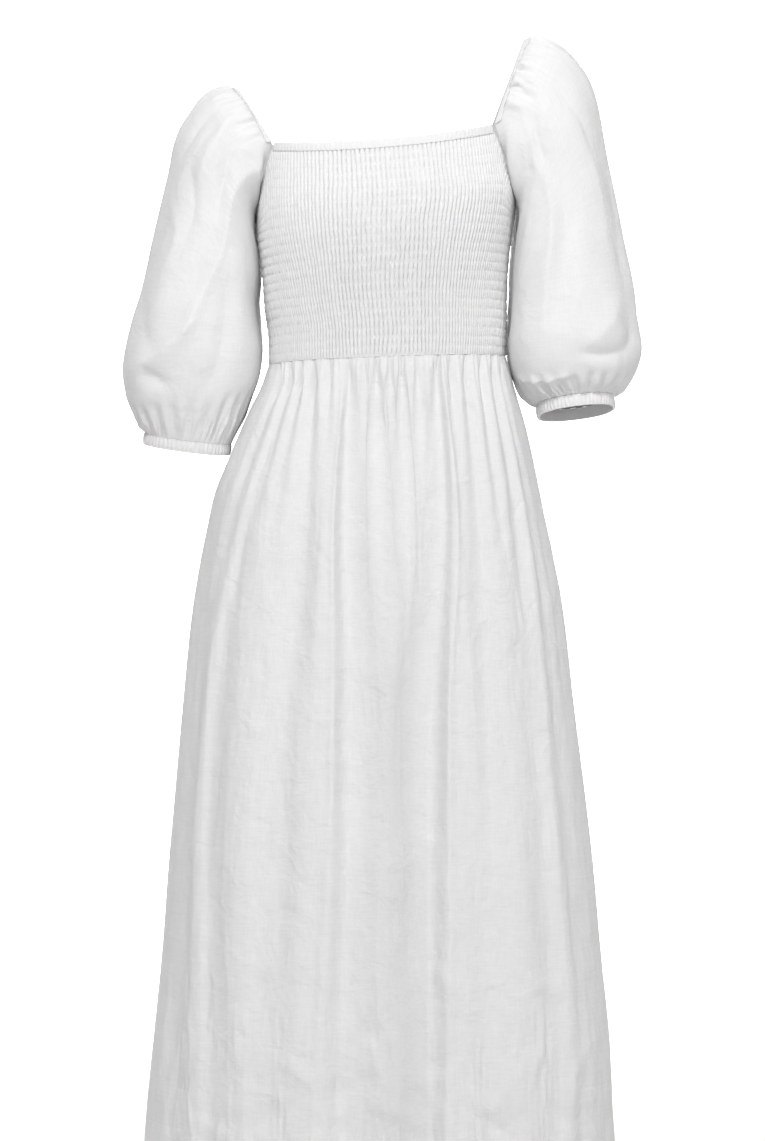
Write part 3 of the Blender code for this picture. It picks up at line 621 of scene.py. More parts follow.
def fold_relief(folds, theta, height):
    """Sum over the folds of a bell-shaped trough and two low shoulders beside it.

    A trough is minus its depth times the bell of its distance over its width. The width is smaller
    on the side that the fold leans to.
    """
    angles = fold_angles(folds, height[:, 0])
    half = spline(height, SKIRT["height"], SKIRT["half"])
    deep = np.stack([folds[name] for name in ("deep_waist", "deep_hip", "deep_knee", "deep_hem")])
    deep = spline(height[:, 0], FOLD_HEIGHTS, deep)
    usual = spline(height[:, 0], FOLD_HEIGHTS, np.array(FOLD_WIDTHS))[:, None]
    relief = np.zeros(theta.shape)
    for number, wide in enumerate(folds["wide"]):
        away = (theta - angles[:, number:number + 1]) * half
        scaled = away / (usual * wide * (1.0 - folds["lean"][number] * np.sign(away)))
        shoulders = FOLD_SHOULDER * np.exp(-((np.abs(scaled) - 1.7) / 0.8) ** 2)
        relief += deep[:, number:number + 1] * (shoulders - np.exp(-scaled ** 2))
    run_in = 0.3 + 0.7 * ease((WAIST - height) / GATHER_RUN_IN)
    side = ease(np.minimum(theta, np.pi - theta) * half / SIDE_RUN_IN)
    return relief * run_in * side


print("usual fold widths, mm:", [round(2000 * w) for w in FOLD_WIDTHS])

# %% [markdown]
# A few of the long folds have a crisp edge: the cloth stands up on one side of it and turns down at
# once on the other side, as a pressed fold does. Each row of the table is one edge: its place
# across at six heights, how much it stands up, how deep it drops, how wide the drop is, and on
# which side it lies (+ is the +X side).

# %% The long crisp edges
EDGE_HEIGHTS = (-0.340, -0.462, -0.626, -0.829, -1.030, -1.210)
EDGE_NAMES = "a b c d e f raise drop wide side start"
FRONT_EDGES = table(EDGE_NAMES, [
    (-0.0410, -0.0545, -0.0566, -0.0577, -0.0710, -0.0780, 0.0024, 0.0090, 0.026, 1.0, -0.335),
    (0.0630, 0.0713, 0.0682, 0.0682, 0.0660, 0.0640, 0.0024, 0.0115, 0.030, -1.0, -0.330),
    (-0.1500, -0.1690, -0.1850, -0.1930, -0.1945, -0.1950, 0.0014, 0.0050, 0.018, -1.0, -0.440),
    (0.0294, 0.0325, 0.0231, 0.0220, 0.0220, 0.0220, 0.0011, 0.0006, 0.010, 1.0, -0.340),
    (0.0860, 0.1010, 0.1130, 0.1200, 0.1230, 0.1260, 0.0010, 0.0030, 0.013, -1.0, -0.340),
    (-0.1050, -0.1230, -0.1300, -0.1430, -0.1470, -0.1500, 0.0010, 0.0028, 0.013, 1.0, -0.420),
    (0.1180, 0.1440, 0.1630, 0.1790, 0.1930, 0.2000, 0.0010, 0.0034, 0.014, 1.0, -0.350),
])
BACK_EDGES = {name: column.copy() for name, column in FRONT_EDGES.items()}
for name in "abcdef":
    BACK_EDGES[name] = -0.93 * BACK_EDGES[name] + 0.014
BACK_EDGES["side"] = -BACK_EDGES["side"]
BACK_EDGES["drop"] = np.roll(BACK_EDGES["drop"], 2)
EDGES = {"front": FRONT_EDGES, "back": BACK_EDGES}
EDGE_TURN = 0.0008
EDGE_RUN_IN = 0.060


def long_edges(edges, points):
    """Sum over the edges: on one side a rise that fades away from it, on the other a dip.

    The rise fades as one over e to the distance. The dip grows as the distance up to one width,
    stays there, and comes back as a bell three widths wide, so the cloth turns down at once into an
    even slope and comes back slowly.
    """
    x, z = points[..., 0], points[..., 2]
    relief = np.zeros(x.shape)
    for number, side in enumerate(edges["side"]):
        path = spline(z, EDGE_HEIGHTS, np.array([edges[name][number] for name in "abcdef"]))
        away = (x - path) * side
        wide = edges["wide"][number]
        up = edges["raise"][number] * np.exp(-np.abs(away) / (0.7 * wide))
        far = np.sqrt(np.maximum(away, 0.0) ** 2 + EDGE_TURN ** 2) - EDGE_TURN
        far = far / wide
        down = edges["drop"][number] * far / (1.0 + far ** 4) ** 0.25 * np.exp(-(far / 3.0) ** 2)
        grow = ease((edges["start"][number] - z) / EDGE_RUN_IN)
        grow = grow * (0.85 + 0.25 * uneven(14.0 * z + 5.0, 0.0 * z, number))
        relief += (up - down) * grow
    return relief


print("long edges on each half:", len(FRONT_EDGES["side"]))

# %% [markdown]
# Linen keeps the marks of folding, sitting and hanging. They are listed one by one, in the sizes that
# the eye sees: most are short, shallow and slanted, and more of them gather near the hem. Each row
# is one crease: its place across and up, its turn from level, its length and width, and its height,
# which is negative for a trough. Across it a crease is a bell, and along it a flat-topped bell.

# %% The skirt's creases
CREASE_NAMES = "x z turn length width height"
FRONT_CREASES = table(CREASE_NAMES, [
    (-0.128, -0.640, 84, 0.110, 0.014, -0.0022),
    (-0.150, -0.560, 78, 0.070, 0.009, 0.0012),
    (-0.092, -0.735, 88, 0.085, 0.010, 0.0013),
    (-0.175, -0.760, 80, 0.095, 0.011, -0.0012),
    (-0.108, -0.905, 86, 0.100, 0.012, -0.0013),
    (-0.196, -0.930, 83, 0.120, 0.010, 0.0014),
    (-0.068, -0.560, 86, 0.080, 0.008, 0.0010),
    (-0.012, -0.610, 92, 0.110, 0.009, 0.0010),
    (0.010, -0.700, 88, 0.120, 0.012, 0.0006),
    (0.024, -0.860, 90, 0.130, 0.011, -0.0006),
    (-0.010, -0.900, 88, 0.090, 0.009, 0.0010),
    (0.090, -0.640, 94, 0.120, 0.011, 0.0013),
    (0.125, -0.720, 97, 0.090, 0.010, -0.0014),
    (0.140, -0.860, 96, 0.110, 0.012, 0.0013),
    (0.096, -0.900, 92, 0.120, 0.011, -0.0012),
    (0.186, -0.900, 99, 0.110, 0.010, 0.0012),
    (0.160, -0.600, 101, 0.070, 0.009, -0.0010),
    (-0.010, -1.032, 6, 0.020, 0.005, -0.0012),
    (-0.024, -1.022, 58, 0.014, 0.005, -0.0010),
    (0.010, -1.024, -52, 0.016, 0.005, -0.0010),
    (0.100, -1.108, -38, 0.024, 0.006, 0.0013),
    (0.120, -1.134, -44, 0.022, 0.005, -0.0012),
    (0.150, -1.070, 34, 0.026, 0.006, 0.0010),
    (0.056, -1.066, 22, 0.022, 0.006, -0.0010),
    (0.072, -1.152, 14, 0.030, 0.006, 0.0011),
    (0.014, -1.118, -24, 0.030, 0.006, 0.0012),
    (-0.040, -1.090, 30, 0.026, 0.006, -0.0011),
    (-0.060, -1.148, -12, 0.034, 0.006, 0.0011),
    (-0.094, -1.072, -32, 0.024, 0.006, 0.0012),
    (-0.124, -1.122, 26, 0.030, 0.006, -0.0012),
    (-0.160, -1.060, 48, 0.022, 0.005, 0.0010),
    (-0.178, -1.140, -20, 0.026, 0.006, 0.0012),
    (-0.206, -1.090, 34, 0.020, 0.005, -0.0010),
    (0.186, -1.124, -28, 0.024, 0.006, -0.0011),
    (0.214, -1.060, 52, 0.022, 0.005, 0.0010),
    (0.064, -0.980, -36, 0.020, 0.006, 0.0009),
    (-0.134, -0.990, 38, 0.024, 0.006, -0.0009),
    (0.168, -0.990, -30, 0.024, 0.006, 0.0010),
    (-0.030, -0.780, 40, 0.020, 0.006, -0.0008),
    (0.120, -0.520, 64, 0.030, 0.006, -0.0009),
])
BACK_CREASES = {name: column.copy() for name, column in FRONT_CREASES.items()}
BACK_CREASES["x"] = -0.92 * BACK_CREASES["x"] + 0.012
BACK_CREASES["z"] = BACK_CREASES["z"] + 0.024 * np.sin(9.0 * np.arange(len(BACK_CREASES["z"])))
BACK_CREASES["turn"] = 176.0 - BACK_CREASES["turn"]
BACK_CREASES["height"] = -0.9 * BACK_CREASES["height"]
CREASES = {"front": FRONT_CREASES, "back": BACK_CREASES}
STRONG_BELOW, STRONG_LOW, STRONG_HIGH = -0.96, 2.2, 1.3


def crease_relief(creases, x, z):
    """Sum over the creases of height times the bell across times the flat-topped bell along.

    Those near the hem are drawn stronger than the rest.
    """
    relief = np.zeros(x.shape)
    for number, turn in enumerate(np.radians(creases["turn"])):
        dx, dz = x - creases["x"][number], z - creases["z"][number]
        along = (dx * np.cos(turn) + dz * np.sin(turn)) / creases["length"][number]
        across = (dz * np.cos(turn) - dx * np.sin(turn)) / creases["width"][number]
        strong = STRONG_LOW if creases["z"][number] < STRONG_BELOW else STRONG_HIGH
        relief += strong * creases["height"][number] * np.exp(-np.abs(across) ** 1.4 - along ** 4)
    return relief


print("creases on each half:", len(FRONT_CREASES["x"]))

# %% [markdown]
# ## The skirt's two halves
# The fine grid's columns follow the folds, so each trough keeps its own columns from the seam to
# the hem. To the large folds come the tubes of cloth between the gathers, which fade out in 40 to
# 130 mm, slow waves as wide as a hand, the long edges, crumples near the hem, and the creases. The
# hem is turned up 30 mm and stitched: the cloth is double there, with a shallow groove at the top.

# %% The skirt's halves
FOLD_COLUMNS = 24
SKIRT_ROWS = 161
HEM_TURN_UP = 0.030
HEM_STITCH_ROWS = (-0.0050, -0.0025, -0.0012, 0.0, 0.0012, 0.0025)
HEM_DOUBLE = 0.0004
HEM_GROOVE = 0.0006
HEM_GROOVE_WIDE = 0.0025
SIDE_SEAM_SINK = 0.0006
TUBE_DEPTH = 0.0046
TUBE_MEAN = 0.76
FINE_GATHER = 0.0005


def gathers(at, height, seed):
    """The tubes between the gathers at the seam, and finer gathers on them.

    A tube is the root of the sine between two folds, less its mean, so a fold between two tubes is
    a narrow valley. The tubes reach down 40 to 130 mm, each as far as chance has it.
    """
    drop = WAIST - height
    reach = 0.085 + 0.045 * uneven(1.7 * at, 0.0 * at, seed)
    fade = (0.35 + 0.65 * ease(drop / 0.010)) * (1.0 - ease(drop / reach))
    tube = np.abs(np.sin(np.pi * at)) ** 0.5 - TUBE_MEAN
    fine = np.cos(2.0 * np.pi * (3.0 * at + 0.35 * uneven(0.8 * at, 30.0 * drop, seed + 1)))
    short = (0.35 + 0.65 * ease(drop / 0.006)) * (1.0 - ease(drop / (0.6 * reach)))
    tube = TUBE_DEPTH * tube * fade * (0.85 + 0.3 * uneven(1.1 * at, 12.0 * drop, seed + 2))
    return tube + FINE_GATHER * fine * short


def slow_waves(theta, height, seed):
    """Wide soft unevenness of hanging cloth: three chance values of growing fineness."""
    u, v = theta * 5.0, height * 5.0
    grow = ease((WAIST - height) / 0.25)
    return grow * (
        0.0016 * uneven(1.0 * u, 0.6 * v, seed)
        + 0.0009 * uneven(2.6 * u, 1.5 * v, seed + 1)
        + 0.0004 * uneven(6.0 * u, 5.0 * v, seed + 2)
    )


def crumples(theta, height, seed):
    """Small creases near the hem: sharp where a chance value passes zero, one less its size."""
    grow = 0.25 + 0.75 * ease((-0.90 - height) / 0.22)
    bend = 1.2 * uneven(9.0 * theta, 11.0 * height, seed)
    first = 1.0 - 2.0 * np.abs(uneven(13.0 * theta + bend, 22.0 * height, seed + 1))
    second = 1.0 - 2.0 * np.abs(uneven(30.0 * theta, 38.0 * height + bend, seed + 2))
    return grow * (0.0014 * first + 0.0007 * second)


def skirt_levels():
    """Heights of the rows: closer together at the waist, and a few more beside the hem's stitches."""
    share = np.linspace(0.0, 1.0, SKIRT_ROWS - len(HEM_STITCH_ROWS)) ** 1.25
    level = WAIST - GAP + share * (HEM - WAIST + GAP)
    return np.sort(np.append(level, HEM + HEM_TURN_UP + np.array(HEM_STITCH_ROWS)))[::-1]


def skirt_panel(facing):
    """Rows run from the waist seam to the hem, columns from the -X side seam to the +X one."""
    seed = 9 if facing == "front" else 21
    margin = 0.5 * GAP / SKIRT[facing].min()
    level = skirt_levels()
    angles = fold_angles(FOLDS[facing], level)
    ends = np.full((SKIRT_ROWS, 1), margin)
    knots = np.hstack([ends, angles, np.pi - ends])
    at = np.linspace(0.0, knots.shape[1] - 1, FOLD_COLUMNS * (knots.shape[1] - 1) + 1)
    whole = np.minimum(at.astype(int), knots.shape[1] - 2)
    theta = knots[:, whole] + (knots[:, whole + 1] - knots[:, whole]) * (at - whole)
    height = np.broadcast_to(level[:, None], theta.shape)
    plain = ring_point(SKIRT, theta, height, facing, fold_relief(FOLDS[facing], theta, height))
    side = ease(np.minimum(at, at[-1] - at) / 0.8)
    small = gathers(np.broadcast_to(at, theta.shape), height, seed) + slow_waves(theta, height, seed)
    small = small + crumples(theta, height, seed + 3) + long_edges(EDGES[facing], plain)
    small = small * side + crease_relief(CREASES[facing], plain[..., 0], plain[..., 2]) * side
    small -= SIDE_SEAM_SINK * (1.0 - ease(np.minimum(at, at[-1] - at) / 0.25))
    stitched = (height - HEM - HEM_TURN_UP) / HEM_GROOVE_WIDE
    small += HEM_DOUBLE * ease(0.5 - 0.5 * stitched) - HEM_GROOVE * np.exp(-stitched ** 2)
    lift = outward(plain, facing)
    outer = plain + lift * small[..., None]
    coarse = np.ix_(range(0, SKIRT_ROWS, 2), range(0, len(at), 3))
    inner = (plain + lift * (small - WALL)[..., None])[coarse]
    return build_shell(f"gathered_skirt_{facing}", outer, inner, (0.83, 0.90), False, SKIRT_LINEN)


skirt = {facing: skirt_panel(facing) for facing in ("front", "back")}

# %% [markdown]
# ## The sleeves
# A puff sleeve is a wide tube, gathered at the shoulder edge and at the cuff. Its rings are given
# as the front shows them: an inner point, an outer point and a depth. Its top edge follows the
# front armhole seam, passes over the shoulder and comes down the back armhole seam. The first
# parameter runs down the arm through the rings, and the second once round it from the underarm.

# %% The sleeves' tables
SHOULDER = {"left": (-0.1600, -0.0040, -0.0275), "right": (0.1504, -0.0040, 0.0261)}
SLEEVE_SQUARE = 0.08
SLEEVE_STEP = 0.027
SLEEVE_ROUND = 0.440
LAP = 0.0006
RING_NAMES = "inner_x inner_z outer_x outer_z depth middle reach swing pitch"
SLEEVES = {
    "left": table(RING_NAMES, [
        (-0.1424, -0.1590, -0.1755, -0.0251, 0.0680, 0.000, 0.024, 0.000, 0.00),
        (-0.1426, -0.1680, -0.1951, -0.0316, 0.0720, 0.000, 0.013, -0.004, 0.00),
        (-0.1420, -0.1780, -0.2126, -0.0523, 0.0745, 0.000, 0.006, -0.012, 0.00),
        (-0.1412, -0.1900, -0.2278, -0.0807, 0.0760, 0.000, 0.002, -0.020, 0.00),
        (-0.1382, -0.2090, -0.2371, -0.1243, 0.0765, 0.000, 0.000, -0.022, 0.00),
        (-0.1362, -0.2350, -0.2496, -0.1766, 0.0770, -0.001, 0.000, -0.024, 0.00),
        (-0.1385, -0.2610, -0.2616, -0.2278, 0.0775, -0.002, 0.000, -0.022, 0.02),
        (-0.1354, -0.2880, -0.2758, -0.2790, 0.0780, -0.003, 0.000, -0.018, 0.03),
        (-0.1326, -0.3120, -0.2856, -0.3259, 0.0760, -0.004, 0.000, -0.016, 0.05),
        (-0.1370, -0.3430, -0.2828, -0.3597, 0.0680, -0.005, 0.000, -0.010, 0.07),
        (-0.1492, -0.3700, -0.2725, -0.3820, 0.0570, -0.006, 0.000, -0.004, 0.09),
        (-0.1670, -0.4110, -0.2616, -0.3985, 0.0440, -0.006, 0.000, 0.000, 0.12),
    ]),
    "right": table(RING_NAMES, [
        (0.1455, -0.1610, 0.1690, 0.0305, 0.0680, 0.000, -0.024, 0.000, 0.00),
        (0.1452, -0.1700, 0.1930, 0.0218, 0.0720, 0.000, -0.013, 0.006, 0.00),
        (0.1436, -0.1810, 0.2147, 0.0000, 0.0745, 0.000, -0.006, 0.017, 0.00),
        (0.1410, -0.1940, 0.2310, -0.0349, 0.0760, 0.000, -0.002, 0.025, 0.00),
        (0.1388, -0.2115, 0.2420, -0.0916, 0.0765, 0.000, 0.000, 0.027, 0.00),
        (0.1368, -0.2354, 0.2551, -0.1591, 0.0770, -0.001, 0.000, 0.030, 0.00),
        (0.1356, -0.2605, 0.2671, -0.2245, 0.0775, -0.002, 0.000, 0.030, -0.02),
        (0.1342, -0.2856, 0.2758, -0.2747, 0.0780, -0.004, 0.000, 0.030, -0.04),
        (0.1328, -0.3096, 0.2801, -0.3085, 0.0760, -0.006, 0.000, 0.028, -0.07),
        (0.1385, -0.3379, 0.2747, -0.3330, 0.0680, -0.009, 0.000, 0.020, -0.10),
        (0.1480, -0.3570, 0.2630, -0.3500, 0.0560, -0.011, 0.000, 0.008, -0.13),
        (0.1640, -0.3710, 0.2485, -0.3610, 0.0420, -0.012, 0.000, 0.000, -0.15),
    ]),
}
FOLD_NAMES = "ring_a round_a ring_b round_b ring_c round_c ring_d round_d height width crisp"
SLEEVE_FOLDS = {
    "left": table(FOLD_NAMES, [
        (1.3, 0.190, 5.3, 0.217, 7.0, 0.247, 8.2, 0.275, 0.0022, 0.020, 2.0),
        (1.3, 0.190, 5.3, 0.217, 7.0, 0.247, 8.2, 0.275, 0.0042, 0.006, 1.4),
        (2.2, 0.238, 5.2, 0.256, 6.9, 0.290, 8.0, 0.325, -0.0026, 0.013, 1.8),
        (7.6, 0.258, 8.2, 0.275, 8.8, 0.328, 9.2, 0.420, 0.0062, 0.010, 1.5),
        (0.9, 0.343, 2.6, 0.310, 3.4, 0.310, 4.4, 0.318, 0.0052, 0.008, 1.6),
        (2.2, 0.275, 3.4, 0.248, 4.3, 0.245, 5.1, 0.250, -0.0052, 0.008, 1.3),
        (9.3, 0.367, 9.4, 0.352, 9.5, 0.335, 9.7, 0.315, -0.0052, 0.008, 1.5),
        (4.5, 0.355, 5.2, 0.323, 5.8, 0.325, 6.4, 0.338, -0.0024, 0.008, 1.3),
        (5.4, 0.420, 5.9, 0.367, 6.4, 0.362, 7.0, 0.383, 0.0020, 0.008, 1.3),
        (7.5, 0.450, 8.1, 0.400, 8.6, 0.357, 9.0, 0.325, -0.0030, 0.010, 1.5),
        (3.8, 0.338, 4.3, 0.360, 4.8, 0.385, 5.3, 0.393, 0.0020, 0.007, 1.3),
        (1.8, 0.360, 3.1, 0.378, 3.8, 0.385, 4.3, 0.403, -0.0034, 0.007, 1.3),
        (1.0, 0.420, 2.0, 0.440, 3.0, 0.450, 4.2, 0.455, 0.0030, 0.009, 1.4),
        (7.0, 0.190, 8.2, 0.190, 9.3, 0.200, 10.4, 0.225, -0.0040, 0.012, 1.6),
        (0.8, 0.600, 3.0, 0.640, 5.5, 0.680, 8.0, 0.640, -0.0050, 0.013, 1.4),
        (1.5, 0.545, 2.6, 0.530, 3.8, 0.560, 5.0, 0.555, 0.0030, 0.009, 1.3),
        (2.0, 0.760, 5.0, 0.780, 7.5, 0.740, 9.5, 0.620, 0.0050, 0.015, 1.4),
        (7.6, 0.560, 8.4, 0.600, 9.0, 0.660, 9.6, 0.700, -0.0040, 0.010, 1.4),
    ]),
    "right": table(FOLD_NAMES, [
        (1.2, 0.310, 2.4, 0.253, 3.2, 0.240, 4.1, 0.240, -0.0058, 0.008, 1.2),
        (1.3, 0.275, 3.0, 0.217, 4.2, 0.232, 5.1, 0.240, 0.0040, 0.006, 1.4),
        (5.1, 0.240, 5.7, 0.235, 6.8, 0.210, 8.5, 0.188, 0.0036, 0.007, 1.5),
        (4.4, 0.262, 5.6, 0.275, 6.6, 0.252, 7.9, 0.232, -0.0044, 0.012, 1.8),
        (9.5, 0.275, 9.6, 0.305, 9.6, 0.335, 9.4, 0.375, -0.0052, 0.009, 1.4),
        (8.3, 0.405, 8.6, 0.425, 9.0, 0.410, 9.4, 0.385, -0.0042, 0.010, 1.6),
        (10.4, 0.062, 10.7, 0.128, 10.8, 0.188, 10.6, 0.240, 0.0040, 0.006, 1.3),
        (4.0, 0.348, 5.0, 0.375, 5.8, 0.385, 6.4, 0.383, 0.0024, 0.010, 1.4),
        (2.4, 0.335, 3.6, 0.352, 4.3, 0.372, 4.9, 0.388, -0.0032, 0.007, 1.3),
        (5.1, 0.450, 5.8, 0.450, 6.5, 0.432, 7.1, 0.420, -0.0022, 0.010, 1.4),
        (7.6, 0.395, 8.2, 0.357, 8.8, 0.320, 9.2, 0.290, 0.0034, 0.011, 1.4),
        (1.0, 0.400, 1.9, 0.420, 2.8, 0.430, 3.9, 0.440, 0.0030, 0.009, 1.4),
        (0.8, 0.640, 2.5, 0.700, 5.0, 0.720, 8.0, 0.700, -0.0050, 0.012, 1.4),
        (2.0, 0.580, 4.5, 0.600, 7.0, 0.640, 9.0, 0.740, 0.0050, 0.015, 1.4),
        (1.4, 0.500, 2.4, 0.480, 3.6, 0.500, 5.2, 0.490, -0.0030, 0.008, 1.3),
        (7.8, 0.480, 8.6, 0.520, 9.2, 0.580, 9.6, 0.640, -0.0040, 0.010, 1.4),
    ]),
}
print("large folds:", {side: len(folds["height"]) for side, folds in SLEEVE_FOLDS.items()})


# %% The sleeve's plain form
def armhole_edge(side, facing, way):
    """The sleeve's edge just outside the armhole seam, from the underarm to the corner."""
    theta = CORNER[facing] * way
    if side == "right":
        theta = np.pi - theta
    out = LAP + way * (WALL + LAP)
    return ring_point(BODICE, theta, armhole_height(theta, facing), facing, out)


def shoulder_edge(start, top, way):
    """Quarter of an ellipse from the neckline's corner up to the top of the shoulder."""
    angle = 0.5 * np.pi * way[:, None]
    rise = start + (top - start) * np.sin(angle)
    rise[:, 1] = (top + (start - top) * np.cos(angle))[:, 1]
    return rise


def sleeve_root(side, around):
    """The sleeve's whole upper edge, in four quarters from the underarm over the front."""
    top = np.array(SHOULDER[side])
    front = armhole_edge(side, "front", np.clip(around / 0.25, 0.0, 1.0))
    back = armhole_edge(side, "back", np.clip((1.0 - around) / 0.25, 0.0, 1.0))
    corner_front = armhole_edge(side, "front", np.ones(1))[0]
    corner_back = armhole_edge(side, "back", np.ones(1))[0]
    over_front = shoulder_edge(corner_front, top, np.clip((around - 0.25) / 0.25, 0.0, 1.0))
    over_back = shoulder_edge(corner_back, top, np.clip((0.75 - around) / 0.25, 0.0, 1.0))
    quarter = np.clip((around * 4.0).astype(int), 0, 3)[:, None]
    return np.select([quarter == 0, quarter == 1, quarter == 2], [front, over_front, over_back], back)


def sleeve_rings(side, around):
    """The rings below the root.

    A ring goes from its inner to its outer point by half of one less the cosine, and to the front
    and back by the sine times its depth. Its back swings behind the body's side, by the sine times
    the swing, and its front a third as far before it, so it lies against the body. The part of the
    cosine is made smaller for that, so that the ring's full width stays the same.
    """
    shape = {name: column[:, None] for name, column in SLEEVES[side].items()}
    cos, sin = np.cos(2.0 * np.pi * around), np.sin(2.0 * np.pi * around)
    near = 0.5 - 0.5 * cos * (1.0 + SLEEVE_SQUARE * sin * sin)
    half = 0.5 * (shape["outer_x"] - shape["inner_x"])
    swing = shape["swing"] * (1.0 - 1.35 * ease(0.5 + sin))
    across = np.sign(half) * np.sqrt(half ** 2 - swing ** 2)
    x = shape["inner_x"] + half + across * (2.0 * near - 1.0)
    x = x + shape["reach"] * sin * sin + swing * sin
    z = shape["inner_z"] + (shape["outer_z"] - shape["inner_z"]) * near
    y = -shape["depth"] * sin * (1.0 + SLEEVE_SQUARE * cos * cos)
    return np.stack([x, y + shape["middle"], z + shape["pitch"] * y], axis=-1)


def sleeve_out(points):
    """Normals of a sleeve's grid, pointing out of the sleeve."""
    normal = normals(points, closed=True)
    inward = (normal * (points - points.mean(axis=1, keepdims=True))).sum(axis=-1).mean() < 0.0
    return -normal if inward else normal


print("sleeve root at the underarm:", sleeve_root("left", np.zeros(1)).round(3).tolist())


# %% [markdown]
# The large folds of a sleeve run along paths through four places of the cloth. The distance to a
# path is taken on the cloth laid flat, and a fold is a bell over that distance. Gathers are cosine
# waves that are strongest at the shoulder edge and the cuff, and fade towards the middle.

# %% Relief of the sleeves
HEAD_GATHER = 0.0042
CUFF_GATHER = 0.0021
SLEEVE_GATHERS = 22
FINE_HEAD = 0.0020
FINE_CUFF = 0.0017


def path_relief(folds, ring, around):
    """Sum over the folds of height times a bell of the distance to the fold's path.

    The bell is one over e to the distance, in widths, to a power. At power 2 it is round, and at
    1.2 it comes to a point, as on a crisp fold. Each fold tapers towards its two ends.
    """
    relief = np.zeros(ring.shape)
    for number, height in enumerate(folds["height"]):
        way = np.linspace(0.0, 3.0, 41)
        path_ring = spline(way, range(4), [folds[f"ring_{k}"][number] for k in "abcd"])
        path_round = spline(way, range(4), [folds[f"round_{k}"][number] for k in "abcd"])
        taper = np.sin(np.pi * (0.08 + 0.84 * way / 3.0)) ** 0.6
        along = (ring[..., None] - path_ring) * SLEEVE_STEP
        across = (around[..., None] - path_round) * SLEEVE_ROUND
        far = np.sqrt(along ** 2 + across ** 2 + 0.0000004) / folds["width"][number]
        bump = taper * np.exp(-far ** folds["crisp"][number])
        relief += height * bump.max(axis=-1)
    return relief


def sleeve_gathers(ring, turn, seed):
    """Two sizes of gathers, a cosine each, at the head and at the cuff.

    They are almost flat on the cuff's own edge, so that no hole opens between sleeve and cuff.
    """
    left = 12.0 - ring
    large = np.cos(2.0 * np.pi * SLEEVE_GATHERS * turn)
    large = large * (1.0 + 0.35 * np.sin(14.0 * np.pi * turn + 1.0))
    over = ease((turn - 0.24) / 0.05) * ease((0.76 - turn) / 0.05)
    patchy = 0.5 + 0.5 * uneven(9.0 * turn, 0.4 * ring, seed + 3)
    head = HEAD_GATHER * over * patchy * ease((ring - 0.35) / 0.5) * (1.0 - ease((ring - 0.8) / 1.6))
    foot = CUFF_GATHER * (0.15 + 0.85 * ease(left / 0.7)) * (1.0 - ease((left - 0.8) / 1.1))
    turned = 2.0 * np.pi * (52.0 * turn + 0.5 * uneven(30.0 * turn, 1.2 * ring, seed))
    fine = np.cos(turned) * (0.8 + 0.5 * uneven(26.0 * turn, 0.9 * ring, seed + 1))
    fine_head = FINE_HEAD * over * ease((ring - 0.4) / 0.3) * (1.0 - ease((ring - 0.7) / 1.6))
    fine_foot = FINE_CUFF * (0.15 + 0.85 * ease(left / 0.5)) * (1.0 - ease((left - 0.2) / 1.1))
    return large * (head + foot) + fine * (fine_head + fine_foot)


# %% The sleeves
SLEEVE_COLUMNS = 264
SLEEVE_ROWS = 181


def sleeve_form(side, rows, around):
    """The sleeve with its gathers and large folds, rings by turns, and its finer unevenness."""
    rings = np.concatenate([sleeve_root(side, around)[None], sleeve_rings(side, around)])
    points = spline(rows, range(len(rings)), rings)
    ring = np.broadcast_to(np.asarray(rows)[:, None], points.shape[:2])
    turn = np.broadcast_to(around, points.shape[:2])
    seed = 31 if side == "left" else 41
    fade = ease(ring / 0.8) * ease((12.0 - ring) / 1.5)
    u, v = np.cos(2.0 * np.pi * turn), np.sin(2.0 * np.pi * turn)
    soft = 0.0015 * uneven(1.8 * u + 5.0, 1.8 * v + 0.5 * ring, seed)
    soft = soft + 0.0007 * uneven(4.5 * u + 9.0, 4.5 * v + 1.3 * ring, seed + 2)
    folds = path_relief(SLEEVE_FOLDS[side], ring, turn)
    relief = sleeve_gathers(ring, turn, seed) + fade * (folds + soft)
    return points + sleeve_out(points) * relief[..., None]


def sleeve(side):
    """One puff sleeve: rows run down the arm, columns round it from the underarm over the front."""
    around = np.arange(SLEEVE_COLUMNS) / SLEEVE_COLUMNS
    outer = sleeve_form(side, np.linspace(0.0, 12.0, SLEEVE_ROWS), around)
    inner = (outer - WALL * sleeve_out(outer))[::3, ::3]
    return build_shell(f"puff_sleeve_{side}", outer, inner, (0.47, 0.40), True, SLEEVE_LINEN)


sleeves = {side: sleeve(side) for side in ("left", "right")}

# %% [markdown]
# ## Shoulder casings and cuffs
# The same kind of elastic casing finishes the sleeve's top edge, from the front corner of the
# neckline over the shoulder to the back corner. The cuff is a casing too, 13 mm high, closed round
# the arm, with two rows of stitches that hold the elastic.

# %% The shoulder casings
SHOULDER_RIBS = 44


